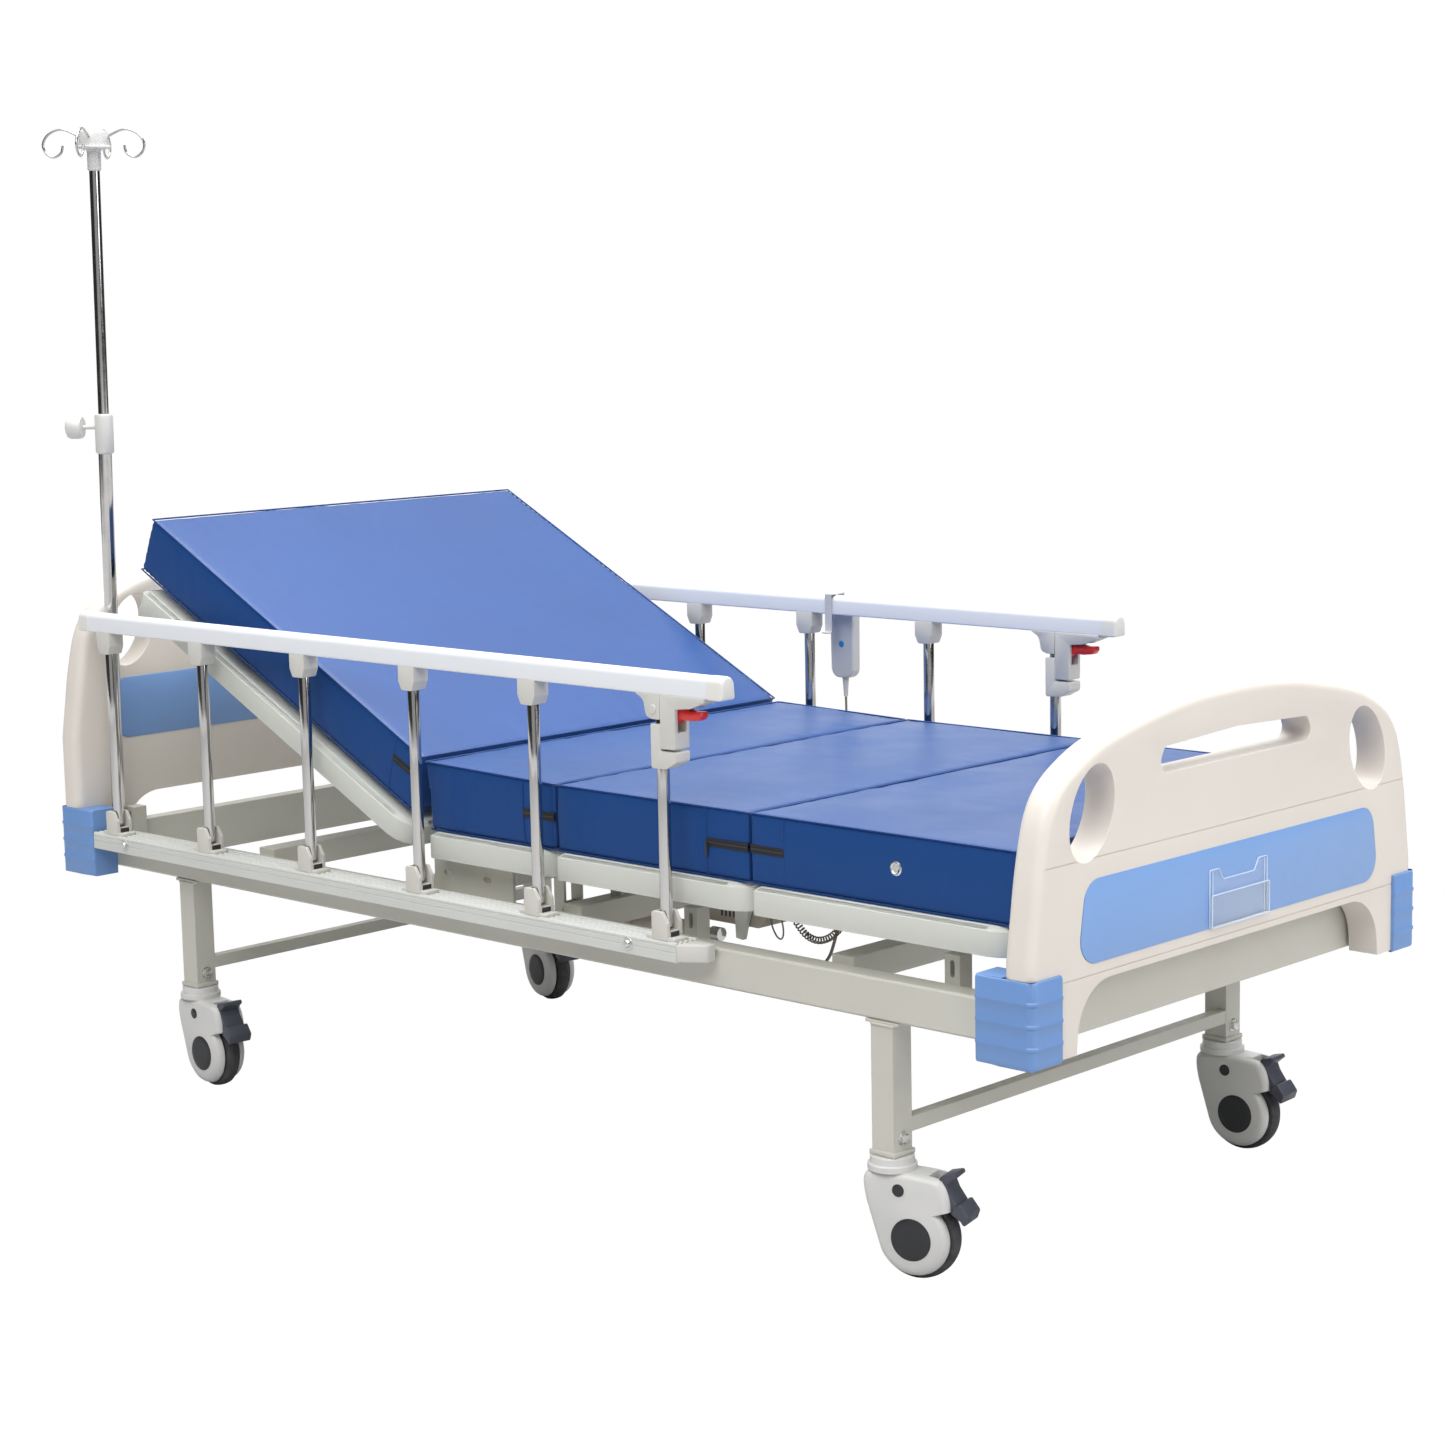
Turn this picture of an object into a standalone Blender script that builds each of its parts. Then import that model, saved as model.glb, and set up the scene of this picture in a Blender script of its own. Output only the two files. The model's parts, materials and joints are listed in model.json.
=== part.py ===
"""Adjustable hospital bed: metres, +Z up, +X towards the foot, origin on the floor under its centre."""

from math import cos, pi, radians, sin, tan

import bmesh
import bpy
from mathutils import Matrix, Vector

GAP = 0.0004

# Undercarriage
WHEEL_R = 0.0625
WHEEL_W = 0.026
TRAIL = 0.041
CASTER_TOP = 0.1759
LEG_X = 0.8113
LEG_Y = 0.4143
LEG_SIZE = 0.040
TUBE_LOW, TUBE_HIGH = 0.3720, 0.4320
TUBE_IN, TUBE_OUT = 0.3943, 0.4343
END_TUBE_OUT = 1.057
END_TUBE_WIDE = 0.030
END_TUBE_LOW, END_TUBE_HIGH = 0.367, 0.447
STUB_X = (-1.026, 0.406, 0.9095)
CROSS_X = (-0.62, -0.1960, 0.1505, 0.710)
CROSS_WIDE = 0.040
CROSS_LOW, CROSS_HIGH = 0.4050, 0.4450
STUB_TOP = 0.4750
EAR_WIDE = 0.008
HINGE_Y = (-0.300, 0.300)
SWIVEL_DEG = {"near_foot": 15.0, "near_head": -4.0, "far_foot": 3.0, "far_head": -14.0}

# Deck and mattress
DECK_LOW, DECK_EDGE, DECK_TOP = 0.4920, 0.5275, 0.5335
DECK_HALF = 0.438
MATTRESS_HALF = 0.425
MATTRESS_LOW, MATTRESS_TOP = 0.5340, 0.6400
BACK_ANGLE = 26.3
BACK_HINGE = (-0.1960, 0.0, 0.4700)
THIGH_HINGE = (0.1505, 0.0, 0.5275)
KNEE_HINGE = (0.5645, 0.0, 0.4895)
DECKS = {
    "back": (-1.010, -0.218),
    "seat": (-0.145, 0.148),
    "thigh": (0.153, 0.562),
    "foot": (0.567, 1.045),
}

HIP_BACK_RELIEF, HIP_SEAT_RELIEF, THIGH_RELIEF = 46.0, 25.0, 21.0
SEAT_HEAD_LOW = -0.1500
FOOT_END_RELIEF = 0.0145

# Linear drives, as (x, z) of the fixed pivot and of the pin that each one pushes at rest
BACK_DRIVE, BACK_DRIVE_TIP, BACK_DRIVE_Y = (0.1505, 0.385), (-0.2160, 0.3600), 0.125
THIGH_DRIVE, THIGH_DRIVE_TIP, THIGH_DRIVE_Y = (-0.1960, 0.345), (0.1810, 0.3450), -0.080

# Boards and bumpers
BOARD_IN, BOARD_OUT = 1.0628, 1.1125
BOARD_LOW = 0.3620
HEADBOARD_RISE = 0.108
BUMPER_X, BUMPER_Y = 1.1185, 0.4877
BUMPER_LOW, BUMPER_HIGH = 0.359, 0.480

# Side rails
RAIL_Y = 0.4694
RAIL_LOW, RAIL_HIGH = 0.809, 0.843
RAIL_ENDS = (-1.034, 0.562)
POST_X = (-0.957, -0.686, -0.407, -0.130, 0.150, 0.427)
POST_R = 0.0095
PIVOT_LOW, PIVOT_HIGH = 0.4670, 0.7880
CHANNEL_LOW, CHANNEL_HIGH = 0.4130, 0.4430
CLAMP_TOP = 0.4855
RAIL_SHIFT = {"near": 0.0, "far": 0.009}

# Infusion pole
POLE_BASE = Vector((-1.0380, -0.4143, 0.4324))
POLE_DIR = Vector((sin(radians(1.3)), 0.0, cos(radians(1.3))))
HOOK_TURN, KNOB_TURN = radians(37.0), radians(217.0)

# Leads
CORD_R, COIL_R, SUPPLY_R = 0.0021, 0.0068, 0.0027
CORD_STEPS = 4
HANDSET_ROUTE = [
    (-0.0600, 0.4980, 0.6545), (-0.0600, 0.4985, 0.6200), (-0.0600, 0.4990, 0.5600),
                 (-0.0595, 0.4995, 0.5000),
    (-0.0580, 0.5000, 0.4400), (-0.0550, 0.4980, 0.3980), (-0.0480, 0.4880, 0.3700),
                 (-0.0360, 0.4680, 0.3560),
    (-0.0150, 0.4350, 0.3520), (0.0300, 0.3700, 0.3560), (0.0950, 0.2800, 0.3620), (0.1750, 0.2000, 0.3640),
    (0.2600, 0.1350, 0.3680), (0.3350, 0.0850, 0.3780), (0.3800, 0.0450, 0.3880), (0.3880, 0.0150, 0.3920),
    (0.3800, 0.0020, 0.3910), (0.3700, 0.0000, 0.3840), (0.3630, 0.0000, 0.3770),
]
COIL_ROUTE = [
    (0.3625, 0.0, 0.3765), (0.3490, 0.0, 0.3610), (0.3300, 0.0, 0.3470), (0.3060, 0.0, 0.3400),
              (0.2830, 0.0, 0.3450),
    (0.2640, 0.0, 0.3600), (0.2500, 0.0, 0.3760), (0.2365, 0.0, 0.3860),
]
SUPPLY_ROUTE = [
    (0.2314, 0.0300, 0.3900), (0.2450, 0.0300, 0.3905), (0.2700, 0.0270, 0.3930), (0.3000, 0.0200, 0.3960),
    (0.3250, 0.0150, 0.3930), (0.3380, 0.0130, 0.3800), (0.3370, 0.0130, 0.3600), (0.3310, 0.0110, 0.3350),
    (0.3250, 0.0040, 0.3120), (0.3190, -0.0180, 0.2950), (0.3150, -0.0600, 0.2920),
                (0.3120, -0.1300, 0.3100),
    (0.3100, -0.2200, 0.3450), (0.3100, -0.3000, 0.3780), (0.3100, -0.3500, 0.3960),
                (0.3100, -0.3800, 0.4020),
    (0.3100, -0.3938, 0.4020),
]

STEEL = ("frame_paint", (0.60, 0.60, 0.55), 0.42, 0.0)
BOARD = ("board_plastic", (0.82, 0.78, 0.72), 0.38, 0.0)
BUMPER = ("bumper_plastic", (0.15, 0.30, 0.62), 0.45, 0.0)
DECK = ("deck_plastic", (0.62, 0.66, 0.63), 0.50, 0.0)
FABRIC = ("mattress_cover", (0.10, 0.22, 0.58), 0.55, 0.0)
ALUMINIUM = ("rail_aluminium", (0.84, 0.86, 0.89), 0.35, 0.6)
RED = ("red_plastic", (0.62, 0.03, 0.03), 0.40, 0.0)
WHITE = ("caster_plastic", (0.74, 0.74, 0.72), 0.40, 0.0)
TYRE = ("tyre_rubber", (0.05, 0.05, 0.055), 0.75, 0.0)
PEDAL = ("pedal_plastic", (0.075, 0.08, 0.11), 0.50, 0.0)
STAINLESS = ("stainless", (0.66, 0.67, 0.68), 0.22, 1.0)
ACTUATOR = ("actuator_plastic", (0.70, 0.67, 0.60), 0.45, 0.0)
HANDSET = ("handset_plastic", (0.80, 0.80, 0.80), 0.40, 0.0)
CORD = ("cord_jacket", (0.10, 0.10, 0.11), 0.60, 0.0)
CLEAR = ("clear_acrylic", (0.92, 0.95, 0.96), 0.08, 0.0)


# ---------------------------------------------------------------- building blocks


def clear_scene():
    for obj in list(bpy.data.objects):
        bpy.data.objects.remove(obj, do_unlink=True)


def material(kind):
    name, colour, rough, metal = kind
    made = bpy.data.materials.get(name) or bpy.data.materials.new(name)
    made.use_nodes = True
    shader = made.node_tree.nodes["Principled BSDF"]
    shader.inputs["Base Color"].default_value = (*colour, 1.0)
    shader.inputs["Roughness"].default_value = rough
    shader.inputs["Metallic"].default_value = metal
    return made


def finish_mesh(work, name="piece"):
    bmesh.ops.remove_doubles(work, verts=work.verts, dist=1e-6)
    bmesh.ops.recalc_face_normals(work, faces=work.faces)
    data = bpy.data.meshes.new(name)
    work.to_mesh(data)
    work.free()
    return data


def loft(rings):
    """A closed body through rings of points, with flat ends."""
    work = bmesh.new()
    loops = [[work.verts.new(point) for point in ring] for ring in rings]
    count = len(loops[0])
    for low, high in zip(loops, loops[1:]):
        for i in range(count):
            j = (i + 1) % count
            work.faces.new((low[i], low[j], high[j], high[i]))
    work.faces.new(list(reversed(loops[0])))
    work.faces.new(loops[-1])
    return finish_mesh(work)


def block(low, high, round_by=0.0, steps=1):
    """A box between two corners, with its edges rounded if round_by is given."""
    work = bmesh.new()
    size = Vector(high) - Vector(low)
    middle = (Vector(high) + Vector(low)) / 2
    place = Matrix.Translation(middle) @ Matrix.Diagonal((*size, 1.0))
    bmesh.ops.create_cube(work, size=1.0, matrix=place)
    if round_by:
        bmesh.ops.bevel(work, geom=work.edges[:], offset=round_by, segments=steps, affect="EDGES",
                        profile=0.5)
    return finish_mesh(work)


def prism(outline, axis, start, end):
    """A flat outline pushed along X, Y or Z. Its two numbers are the other two axes in order."""
    spot = {
        "X": lambda a, b, c: (c, a, b),
        "Y": lambda a, b, c: (a, c, b),
        "Z": lambda a, b, c: (a, b, c),
    }[axis]
    return loft([[spot(a, b, c) for a, b in outline] for c in (start, end)])


def rounded(outline, radii, steps=3):
    """The outline with each corner replaced by an arc of its own radius."""
    points = []
    count = len(outline)
    for i, corner in enumerate(outline):
        radius = radii[i] if isinstance(radii, (list, tuple)) else radii
        here = Vector(corner)
        if radius <= 0:
            points.append(tuple(here))
            continue
        to_last = (Vector(outline[i - 1]) - here).normalized()
        to_next = (Vector(outline[(i + 1) % count]) - here).normalized()
        half = to_last.angle(to_next) / 2
        centre = here + (to_last + to_next).normalized() * radius / sin(half)
        first = here + to_last * radius / tan(half) - centre
        last = here + to_next * radius / tan(half) - centre
        turn = first.angle_signed(last)
        for k in range(steps + 1):
            spoke = first.copy()
            spoke.rotate(Matrix.Rotation(-turn * k / steps, 2))
            points.append(tuple(centre + spoke))
    return points


def rectangle(a0, b0, a1, b1, radii=0.0, steps=3):
    return rounded([(a0, b0), (a1, b0), (a1, b1), (a0, b1)], radii, steps)


def circle(a, b, radius, sides=16, squash=1.0):
    spin = [2 * pi * (i + 0.5) / sides for i in range(sides)]
    return [(a + radius * cos(t), b + radius * squash * sin(t)) for t in spin]


def rod(start, end, radius, end_radius=None, sides=12):
    """A round bar between two points."""
    start, end = Vector(start), Vector(end)
    along = (end - start).normalized()
    side = along.orthogonal().normalized()
    other = along.cross(side)
    rings = []
    for centre, size in ((start, radius), (end, end_radius or radius)):
        spin = [2 * pi * (i + 0.5) / sides for i in range(sides)]
        rings.append([centre + size * (cos(t) * side + sin(t) * other) for t in spin])
    return loft(rings)


def turned(profile, centre, axis, sides=24):
    """A solid of revolution. The profile is (radius, distance along the axis), from one end to the other."""
    centre, axis = Vector(centre), Vector(axis).normalized()
    side = axis.orthogonal().normalized()
    other = axis.cross(side)
    spin = [2 * pi * (i + 0.5) / sides for i in range(sides)]
    rings = [
        [centre + axis * height + radius * (cos(t) * side + sin(t) * other) for t in spin]
        for radius, height in profile
    ]
    return loft(rings)


def helper(data, owner, name, group):
    tool = bpy.data.objects.new(name, data)
    group.objects.link(tool)
    tool.hide_render = True
    tool.display_type = "WIRE"
    tool.parent = owner
    tool.matrix_parent_inverse = owner.matrix_world.inverted()


def combine(obj, verb, shapes, label):
    """A Boolean that joins shapes to a part or takes them away."""
    group = bpy.data.collections.new(f"{obj.name}_{label}")
    bpy.context.scene.collection.children.link(group)
    group.hide_render = True
    for i, data in enumerate(shapes):
        helper(data, obj, f"{obj.name}_{label}_{i}", group)
    change = obj.modifiers.new(label, "BOOLEAN")
    change.operation = verb
    change.operand_type = "COLLECTION"
    change.collection = group
    change.solver = "EXACT"


def node(name, kind, pieces, cuts=(), late=(), pivot=(0.0, 0.0, 0.0), smooth=True):
    """One named part: pieces joined, cuts taken away, then late pieces added. All are in bed coordinates."""
    first, *others = pieces
    obj = bpy.data.objects.new(name, first)
    bpy.context.scene.collection.objects.link(obj)
    first.transform(Matrix.Translation(-Vector(pivot)))
    obj.location = pivot
    bpy.context.view_layer.update()
    for verb, shapes, label in (("UNION", others, "joined"), ("DIFFERENCE", cuts, "cut"),
                                ("UNION", late, "added")):
        if shapes:
            combine(obj, verb, shapes, label)
    obj.data.materials.append(material(kind))
    if smooth:
        obj.data.shade_smooth()
        obj.data.set_sharp_from_angle(angle=radians(35))
    return obj


def turn_about(obj, pivot, angle):
    """Turns a part about a line along +Y through its pivot, as its hinge would."""
    spin = Matrix.Translation(pivot) @ Matrix.Rotation(radians(angle), 4,
                                                       "Y") @ Matrix.Translation(-Vector(pivot))
    obj.matrix_world = spin @ obj.matrix_world


# ---------------------------------------------------------------- frame and undercarriage


def side_tube(side):
    low, high = sorted((side * TUBE_IN, side * TUBE_OUT))
    return block((-END_TUBE_OUT, low, TUBE_LOW), (END_TUBE_OUT, high, TUBE_HIGH), 0.003)


def end_tube(end):
    low, high = sorted((end * END_TUBE_OUT, end * (END_TUBE_OUT - END_TUBE_WIDE)))
    return block((low, -TUBE_IN - 0.004, END_TUBE_LOW), (high, TUBE_IN + 0.004, END_TUBE_HIGH))


def cross_tube(x):
    half = CROSS_WIDE / 2
    return block((x - half, -TUBE_IN - 0.005, CROSS_LOW), (x + half, TUBE_IN + 0.005, CROSS_HIGH))


def stub_post(x, side):
    low, high = sorted((side * (TUBE_IN - 0.024), side * (TUBE_IN + 0.003)))
    return block((x - 0.0135, low, 0.385), (x + 0.0135, high, STUB_TOP))


def stub_slot(x, side):
    low, high = sorted((side * (TUBE_IN - 0.014), side * (TUBE_IN + 0.010)))
    return prism(rectangle(x - 0.004, 0.4415, x + 0.004, 0.4665, 0.0039, 2), "Y", low, high)


def seat_bracket(side):
    """Upright plate inside each side tube that carries the seat deck."""
    low, high = sorted((side * 0.3990, side * 0.4050))
    return block((-0.168, low, 0.425), (0.020, high, DECK_LOW - GAP))


def seat_bearer(x):
    return block((x - 0.020, -0.402, DECK_LOW - 0.0055), (x + 0.020, 0.402, DECK_LOW - GAP))


def bracket_slot(x, side):
    low, high = sorted((side * 0.390, side * 0.415))
    return prism(rectangle(x - 0.010, 0.458, x + 0.010, 0.466, 0.0039, 2), "Y", low, high)


def hinge_ear(x, y, low, high, reach):
    """Flat ear standing on a cross tube, with a round head about a hinge line."""
    outline = rounded([(x - reach, low), (x + reach, low), (x + reach, high), (x - reach, high)],
                      [0, 0, reach * 0.95, reach * 0.95], 3)
    return prism(outline, "Y", y - EAR_WIDE / 2, y + EAR_WIDE / 2)


def actuator_ear(x, y, low, high):
    return block((x - 0.012, y - 0.003, low), (x + 0.012, y + 0.003, high))


def make_bed_frame():
    pieces = [side_tube(-1), side_tube(1), end_tube(-1), end_tube(1)]
    pieces += [cross_tube(x) for x in CROSS_X]
    pieces += [stub_post(x, side) for x in STUB_X for side in (-1, 1)]
    pieces += [seat_bracket(-1), seat_bracket(1), seat_bearer(-0.100), seat_bearer(0.000)]
    for y in HINGE_Y:
        pieces.append(hinge_ear(BACK_HINGE[0], y, CROSS_HIGH - 0.005, BACK_HINGE[2] + 0.012, 0.012))
        pieces.append(hinge_ear(THIGH_HINGE[0], y, CROSS_HIGH - 0.005, DECK_LOW - 0.0010, 0.012))
    for (x, z), y in ((BACK_DRIVE, BACK_DRIVE_Y), (THIGH_DRIVE, THIGH_DRIVE_Y)):
        pieces += [actuator_ear(x, y + shift, z - 0.020, CROSS_LOW + 0.004) for shift in (-0.020, 0.020)]
    cuts = [stub_slot(x, side) for x in STUB_X for side in (-1, 1)]
    cuts += [bracket_slot(x, side) for x in (-0.135, -0.040) for side in (-1, 1)]
    node("bed_frame", STEEL, pieces, cuts, smooth=False)


def leg(end, side):
    x, y = end * LEG_X, side * LEG_Y
    half = LEG_SIZE / 2
    tube = block((x - half, y - half, CASTER_TOP + 0.004), (x + half, y + half, TUBE_LOW - 0.003))
    cap = block((x - half - 0.003, y - half - 0.003, CASTER_TOP + GAP),
                (x + half + 0.003, y + half + 0.003, 0.183))
    flange = block((x - 0.030, y - half, TUBE_LOW - 0.005), (x + 0.030, y + half, TUBE_LOW - GAP))
    bolt = prism(circle(y, 0.201, 0.0085, 6), "X", x + half - 0.001, x + half + 0.007)
    return [tube, cap, flange, bolt]


def leg_brace(end):
    x = end * LEG_X
    return block((x, -LEG_Y, 0.2069), (x + LEG_SIZE / 2 - 0.0005, LEG_Y, 0.2281))


def make_leg_frames():
    for name, end in (("leg_frame_head", -1), ("leg_frame_foot", 1)):
        node(name, STEEL, leg(end, -1) + leg(end, 1) + [leg_brace(end)], smooth=False)


def caster_shell():
    """Side outline of the housing, with the neck at the swivel and a round lobe about the axle."""
    lobe = [(TRAIL + 0.0545 * cos(t), WHEEL_R + 0.0545 * sin(t)) for t in
            [radians(195 + 15 * i) for i in range(15)]]
    neck = [(0.0985, 0.1080), (0.0970, 0.1250), (0.0880, 0.1500), (0.0550, 0.1560), (-0.028, 0.1560),
            (-0.035, 0.149),
            (-0.032, 0.110)]
    return lobe + neck


def make_caster(place, end, side):
    """Swivelling twin-shell housing, wheel and brake pedal, trailing along +X before the corner's turn."""
    stem = Vector((end * LEG_X, side * LEG_Y, 0.0))
    spin = Matrix.Translation(stem) @ Matrix.Rotation(radians(SWIVEL_DEG[place]), 4, "Z")
    axle = (TRAIL, 0.0, WHEEL_R)
    collar = turned([(0.0345, 0.1550), (0.0345, 0.1640), (0.0150, 0.1645), (0.0150, CASTER_TOP)], (0, 0, 0),
                    (0, 0, 1))
    fork_gap = block((-0.050, -0.0155, -0.01), (0.130, 0.0155, 0.1400))
    pedal_gap = block((0.0660, -0.0205, 0.090), (0.140, 0.0205, 0.180))
    axle_pin = rod((TRAIL, -0.0200, WHEEL_R), (TRAIL, 0.0200, WHEEL_R), 0.0060, sides=10)
    housing = node(f"caster_housing_{place}", WHITE, [prism(caster_shell(), "Y", -0.0290, 0.0290), collar],
                   [fork_gap, pedal_gap], late=[axle_pin])
    tyre = [(0.054, -0.0135), (0.0600, -0.0110), (WHEEL_R, -0.0040), (WHEEL_R, 0.0040), (0.0600, 0.0110),
            (0.054, 0.0135)]
    bore = rod((TRAIL, -0.03, WHEEL_R), (TRAIL, 0.03, WHEEL_R), 0.0066, sides=10)
    wheel = node(f"caster_wheel_{place}", TYRE, [turned(tyre, axle, (0, 1, 0), 28)], [bore])
    arm = prism([(0.0740, 0.1440), (0.0780, 0.1500), (0.0900, 0.1500), (0.0960, 0.1350), (0.1080, 0.1180),
                 (0.0980, 0.1080), (0.0860, 0.1280), (0.0760, 0.1360)], "Y", -0.0195, 0.0195)
    upper_lobe = prism([(0.0780, 0.1490), (0.0840, 0.1580), (0.1030, 0.1625), (0.1050, 0.1570),
                        (0.0900, 0.1440)],
                       "Y", -0.0190, 0.0190)
    lower_lobe = prism([(0.0990, 0.1060), (0.1040, 0.1160), (0.1130, 0.1210), (0.1260, 0.1040),
                        (0.1200, 0.0870),
                        (0.1140, 0.0960)], "Y", -0.0225, 0.0225)
    wheel_room = rod((TRAIL, -0.03, WHEEL_R), (TRAIL, 0.03, WHEEL_R), WHEEL_R + 0.0025, sides=28)
    pedal = node(f"brake_pedal_{place}", PEDAL, [arm, upper_lobe, lower_lobe], [wheel_room])
    for obj in (housing, wheel, pedal):
        obj.matrix_world = spin @ obj.matrix_world


def make_casters():
    for place in SWIVEL_DEG:
        make_caster(place, 1 if "foot" in place else -1, 1 if "far" in place else -1)


# ---------------------------------------------------------------- deck and mattress


def deck_panel(x0, x1, head_r, foot_r):
    """Moulded panel with rounded plan corners and a chamfered top rim."""
    rings = []
    for inset, z in ((0.0, DECK_LOW), (0.0, DECK_EDGE), (0.011, DECK_TOP)):
        half = DECK_HALF - inset
        corners = [(x0 + inset, -half), (x1 - inset, -half), (x1 - inset, half), (x0 + inset, half)]
        radii = [max(r - inset, 0.003) for r in (head_r, foot_r, foot_r, head_r)]
        rings.append([(a, b, z) for a, b in rounded(corners, radii, 4)])
    return loft(rings)


def lever(points, y):
    return prism(points, "Y", y - 0.005, y + 0.005)


def make_decks():
    back = [deck_panel(*DECKS["back"], 0.012, 0.045)]
    for y in (HINGE_Y[0] + 0.010, HINGE_Y[1] - 0.010):
        back.append(block((-0.300, y - 0.004, 0.4740), (-0.222, y + 0.004, DECK_LOW + 0.002)))
        back.append(hinge_tongue(BACK_HINGE, y, -0.226))
    hip = Vector((BACK_HINGE[0], BACK_HINGE[2]))
    foot_of_lever = [(-0.118, 0.030), (-0.118, -0.050), (-0.080, -0.105), (0.028, -0.120), (0.044, -0.112),
                     (0.040, -0.098), (-0.040, -0.082), (-0.060, -0.050), (-0.050, 0.030)]
    back.append(lever([tuple(hip + Vector(p)) for p in foot_of_lever], BACK_DRIVE_Y + 0.030))
    deck = node("back_deck", DECK, back, pivot=BACK_HINGE, smooth=False)
    turn_about(deck, BACK_HINGE, BACK_ANGLE)
    node("seat_deck", DECK, [deck_panel(*DECKS["seat"], 0.012, 0.045)], smooth=False)
    thigh = [deck_panel(*DECKS["thigh"], 0.012, 0.045)]
    arm = [(0.1760, 0.494), (0.1735, 0.370), (0.1755, 0.336), (0.190, 0.334), (0.198, 0.365), (0.240, 0.494)]
    thigh.append(lever(arm, THIGH_DRIVE_Y + 0.030))
    node("thigh_deck", DECK, thigh, pivot=THIGH_HINGE, smooth=False)
    node("foot_deck", DECK, [deck_panel(*DECKS["foot"], 0.012, 0.045)], pivot=KNEE_HINGE, smooth=False)


def hinge_tongue(hinge, y, to_x):
    """Arm from a panel to its hinge line, ending in a round eye."""
    x, z = hinge[0], hinge[2]
    arc = [(x + 0.011 * cos(t), z + 0.011 * sin(t)) for t in [radians(-90 + 30 * i) for i in range(7)]]
    return prism([(to_x, z - 0.011), *arc, (to_x, z + 0.015)], "Y", y - 0.004, y + 0.004)


def mattress_piece(name, outline, pivot):
    return node(name, FABRIC, [prism(outline, "Y", -MATTRESS_HALF, MATTRESS_HALF)], pivot=pivot,
                smooth=False)


def relief(hinge, angle, height):
    """Where a relief line through a hinge, leaning away by angle, meets a height."""
    return hinge[0] + tan(radians(angle)) * (height - hinge[2])


def make_mattress():
    low, top = MATTRESS_LOW, MATTRESS_TOP
    back_low = relief(BACK_HINGE, -HIP_BACK_RELIEF, low) - 0.001
    back_top = relief(BACK_HINGE, -HIP_BACK_RELIEF, top) - 0.001
    back = mattress_piece("mattress_back", [(-1.0100, low), (back_low, low), (back_top, top),
                                            (-1.0100, top)], BACK_HINGE)
    turn_about(back, BACK_HINGE, BACK_ANGLE)
    seat_low = SEAT_HEAD_LOW
    seat_top = relief(BACK_HINGE, HIP_SEAT_RELIEF, top) + 0.001
    knee_side = relief(THIGH_HINGE, -THIGH_RELIEF, top) - 0.0015
    mattress_piece("mattress_seat", [(seat_low, low), (0.1420, low), (knee_side, top), (seat_top, top)],
                   (0, 0, 0))
    thigh_top = relief(THIGH_HINGE, THIGH_RELIEF, top) + 0.0015
    mattress_piece("mattress_thigh", [(0.1580, low), (0.5530, low), (0.5530, top), (thigh_top, top)],
                   THIGH_HINGE)
    mattress_piece("mattress_foot", [(0.5580, low), (1.0550, low), (1.0550 - FOOT_END_RELIEF, top),
                                     (0.5580, top)], KNEE_HINGE)


# ---------------------------------------------------------------- boards and bumpers


def curve_through(points, steps):
    """Smooth curve through the points, uniform Catmull-Rom, without the two end tangents' help."""
    spots = [Vector(p) for p in points]
    spots = [2 * spots[0] - spots[1], *spots, 2 * spots[-1] - spots[-2]]
    out = []
    for a, b, c, d in zip(spots, spots[1:], spots[2:], spots[3:]):
        for k in range(steps):
            t = k / steps
            square, cube = 2 * a - 5 * b + 4 * c - d, 3 * b - a - 3 * c + d
            out.append(0.5 * (2 * b + (c - a) * t + square * t * t + cube * t ** 3))
    out.append(spots[-2])
    return out


def board_outline(rise, inset):
    """Front outline of a board as (y, z), from near foot up and over to far foot, moved in by inset."""
    half = [(0.4835, 0.50), (0.476, 0.55), (0.465, 0.62), (0.447, 0.69), (0.420, 0.73), (0.376, 0.758),
            (0.310, 0.783),
            (0.197, 0.805), (0.100, 0.8165), (0.0, 0.820)]
    edge = [Vector((y, z + rise)) for y, z in half]
    edge = [Vector((0.4838, BOARD_LOW))] + curve_through(edge, 2)
    moved = []
    for i, spot in enumerate(edge):
        before, after = edge[max(i - 1, 0)], edge[min(i + 1, len(edge) - 1)]
        along = (after - before).normalized()
        moved.append(spot + inset * Vector((-along.y, along.x)))
    moved[0] = Vector((edge[0].x - inset, BOARD_LOW))
    moved[-1].x = 0.0
    right = [(p.x, p.y) for p in moved]
    return [(-y, z) for y, z in right] + [(y, z) for y, z in reversed(right[:-1])]


def board_body(rise, end):
    """Board with its front and back edges rounded over."""
    depth = BOARD_OUT - BOARD_IN
    rings = []
    for inset, along in ((0.015, 0.0), (0.004, 0.005), (0.0, 0.015), (0.0, depth - 0.015),
                         (0.004, depth - 0.005), (0.015, depth)):
        x = end * (BOARD_IN + along)
        rings.append([(x, y, z) for y, z in board_outline(rise, inset)])
    return loft(rings)


def tilted_oval(side, rise):
    lean = radians(25)
    points = []
    for i in range(18):
        t = 2 * pi * i / 18
        a, b = 0.046 * cos(t), 0.069 * sin(t)
        points.append((side * (0.348 + a * cos(lean) - b * sin(lean)),
                       0.688 + rise + a * sin(lean) + b * cos(lean)))
    return points


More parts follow.
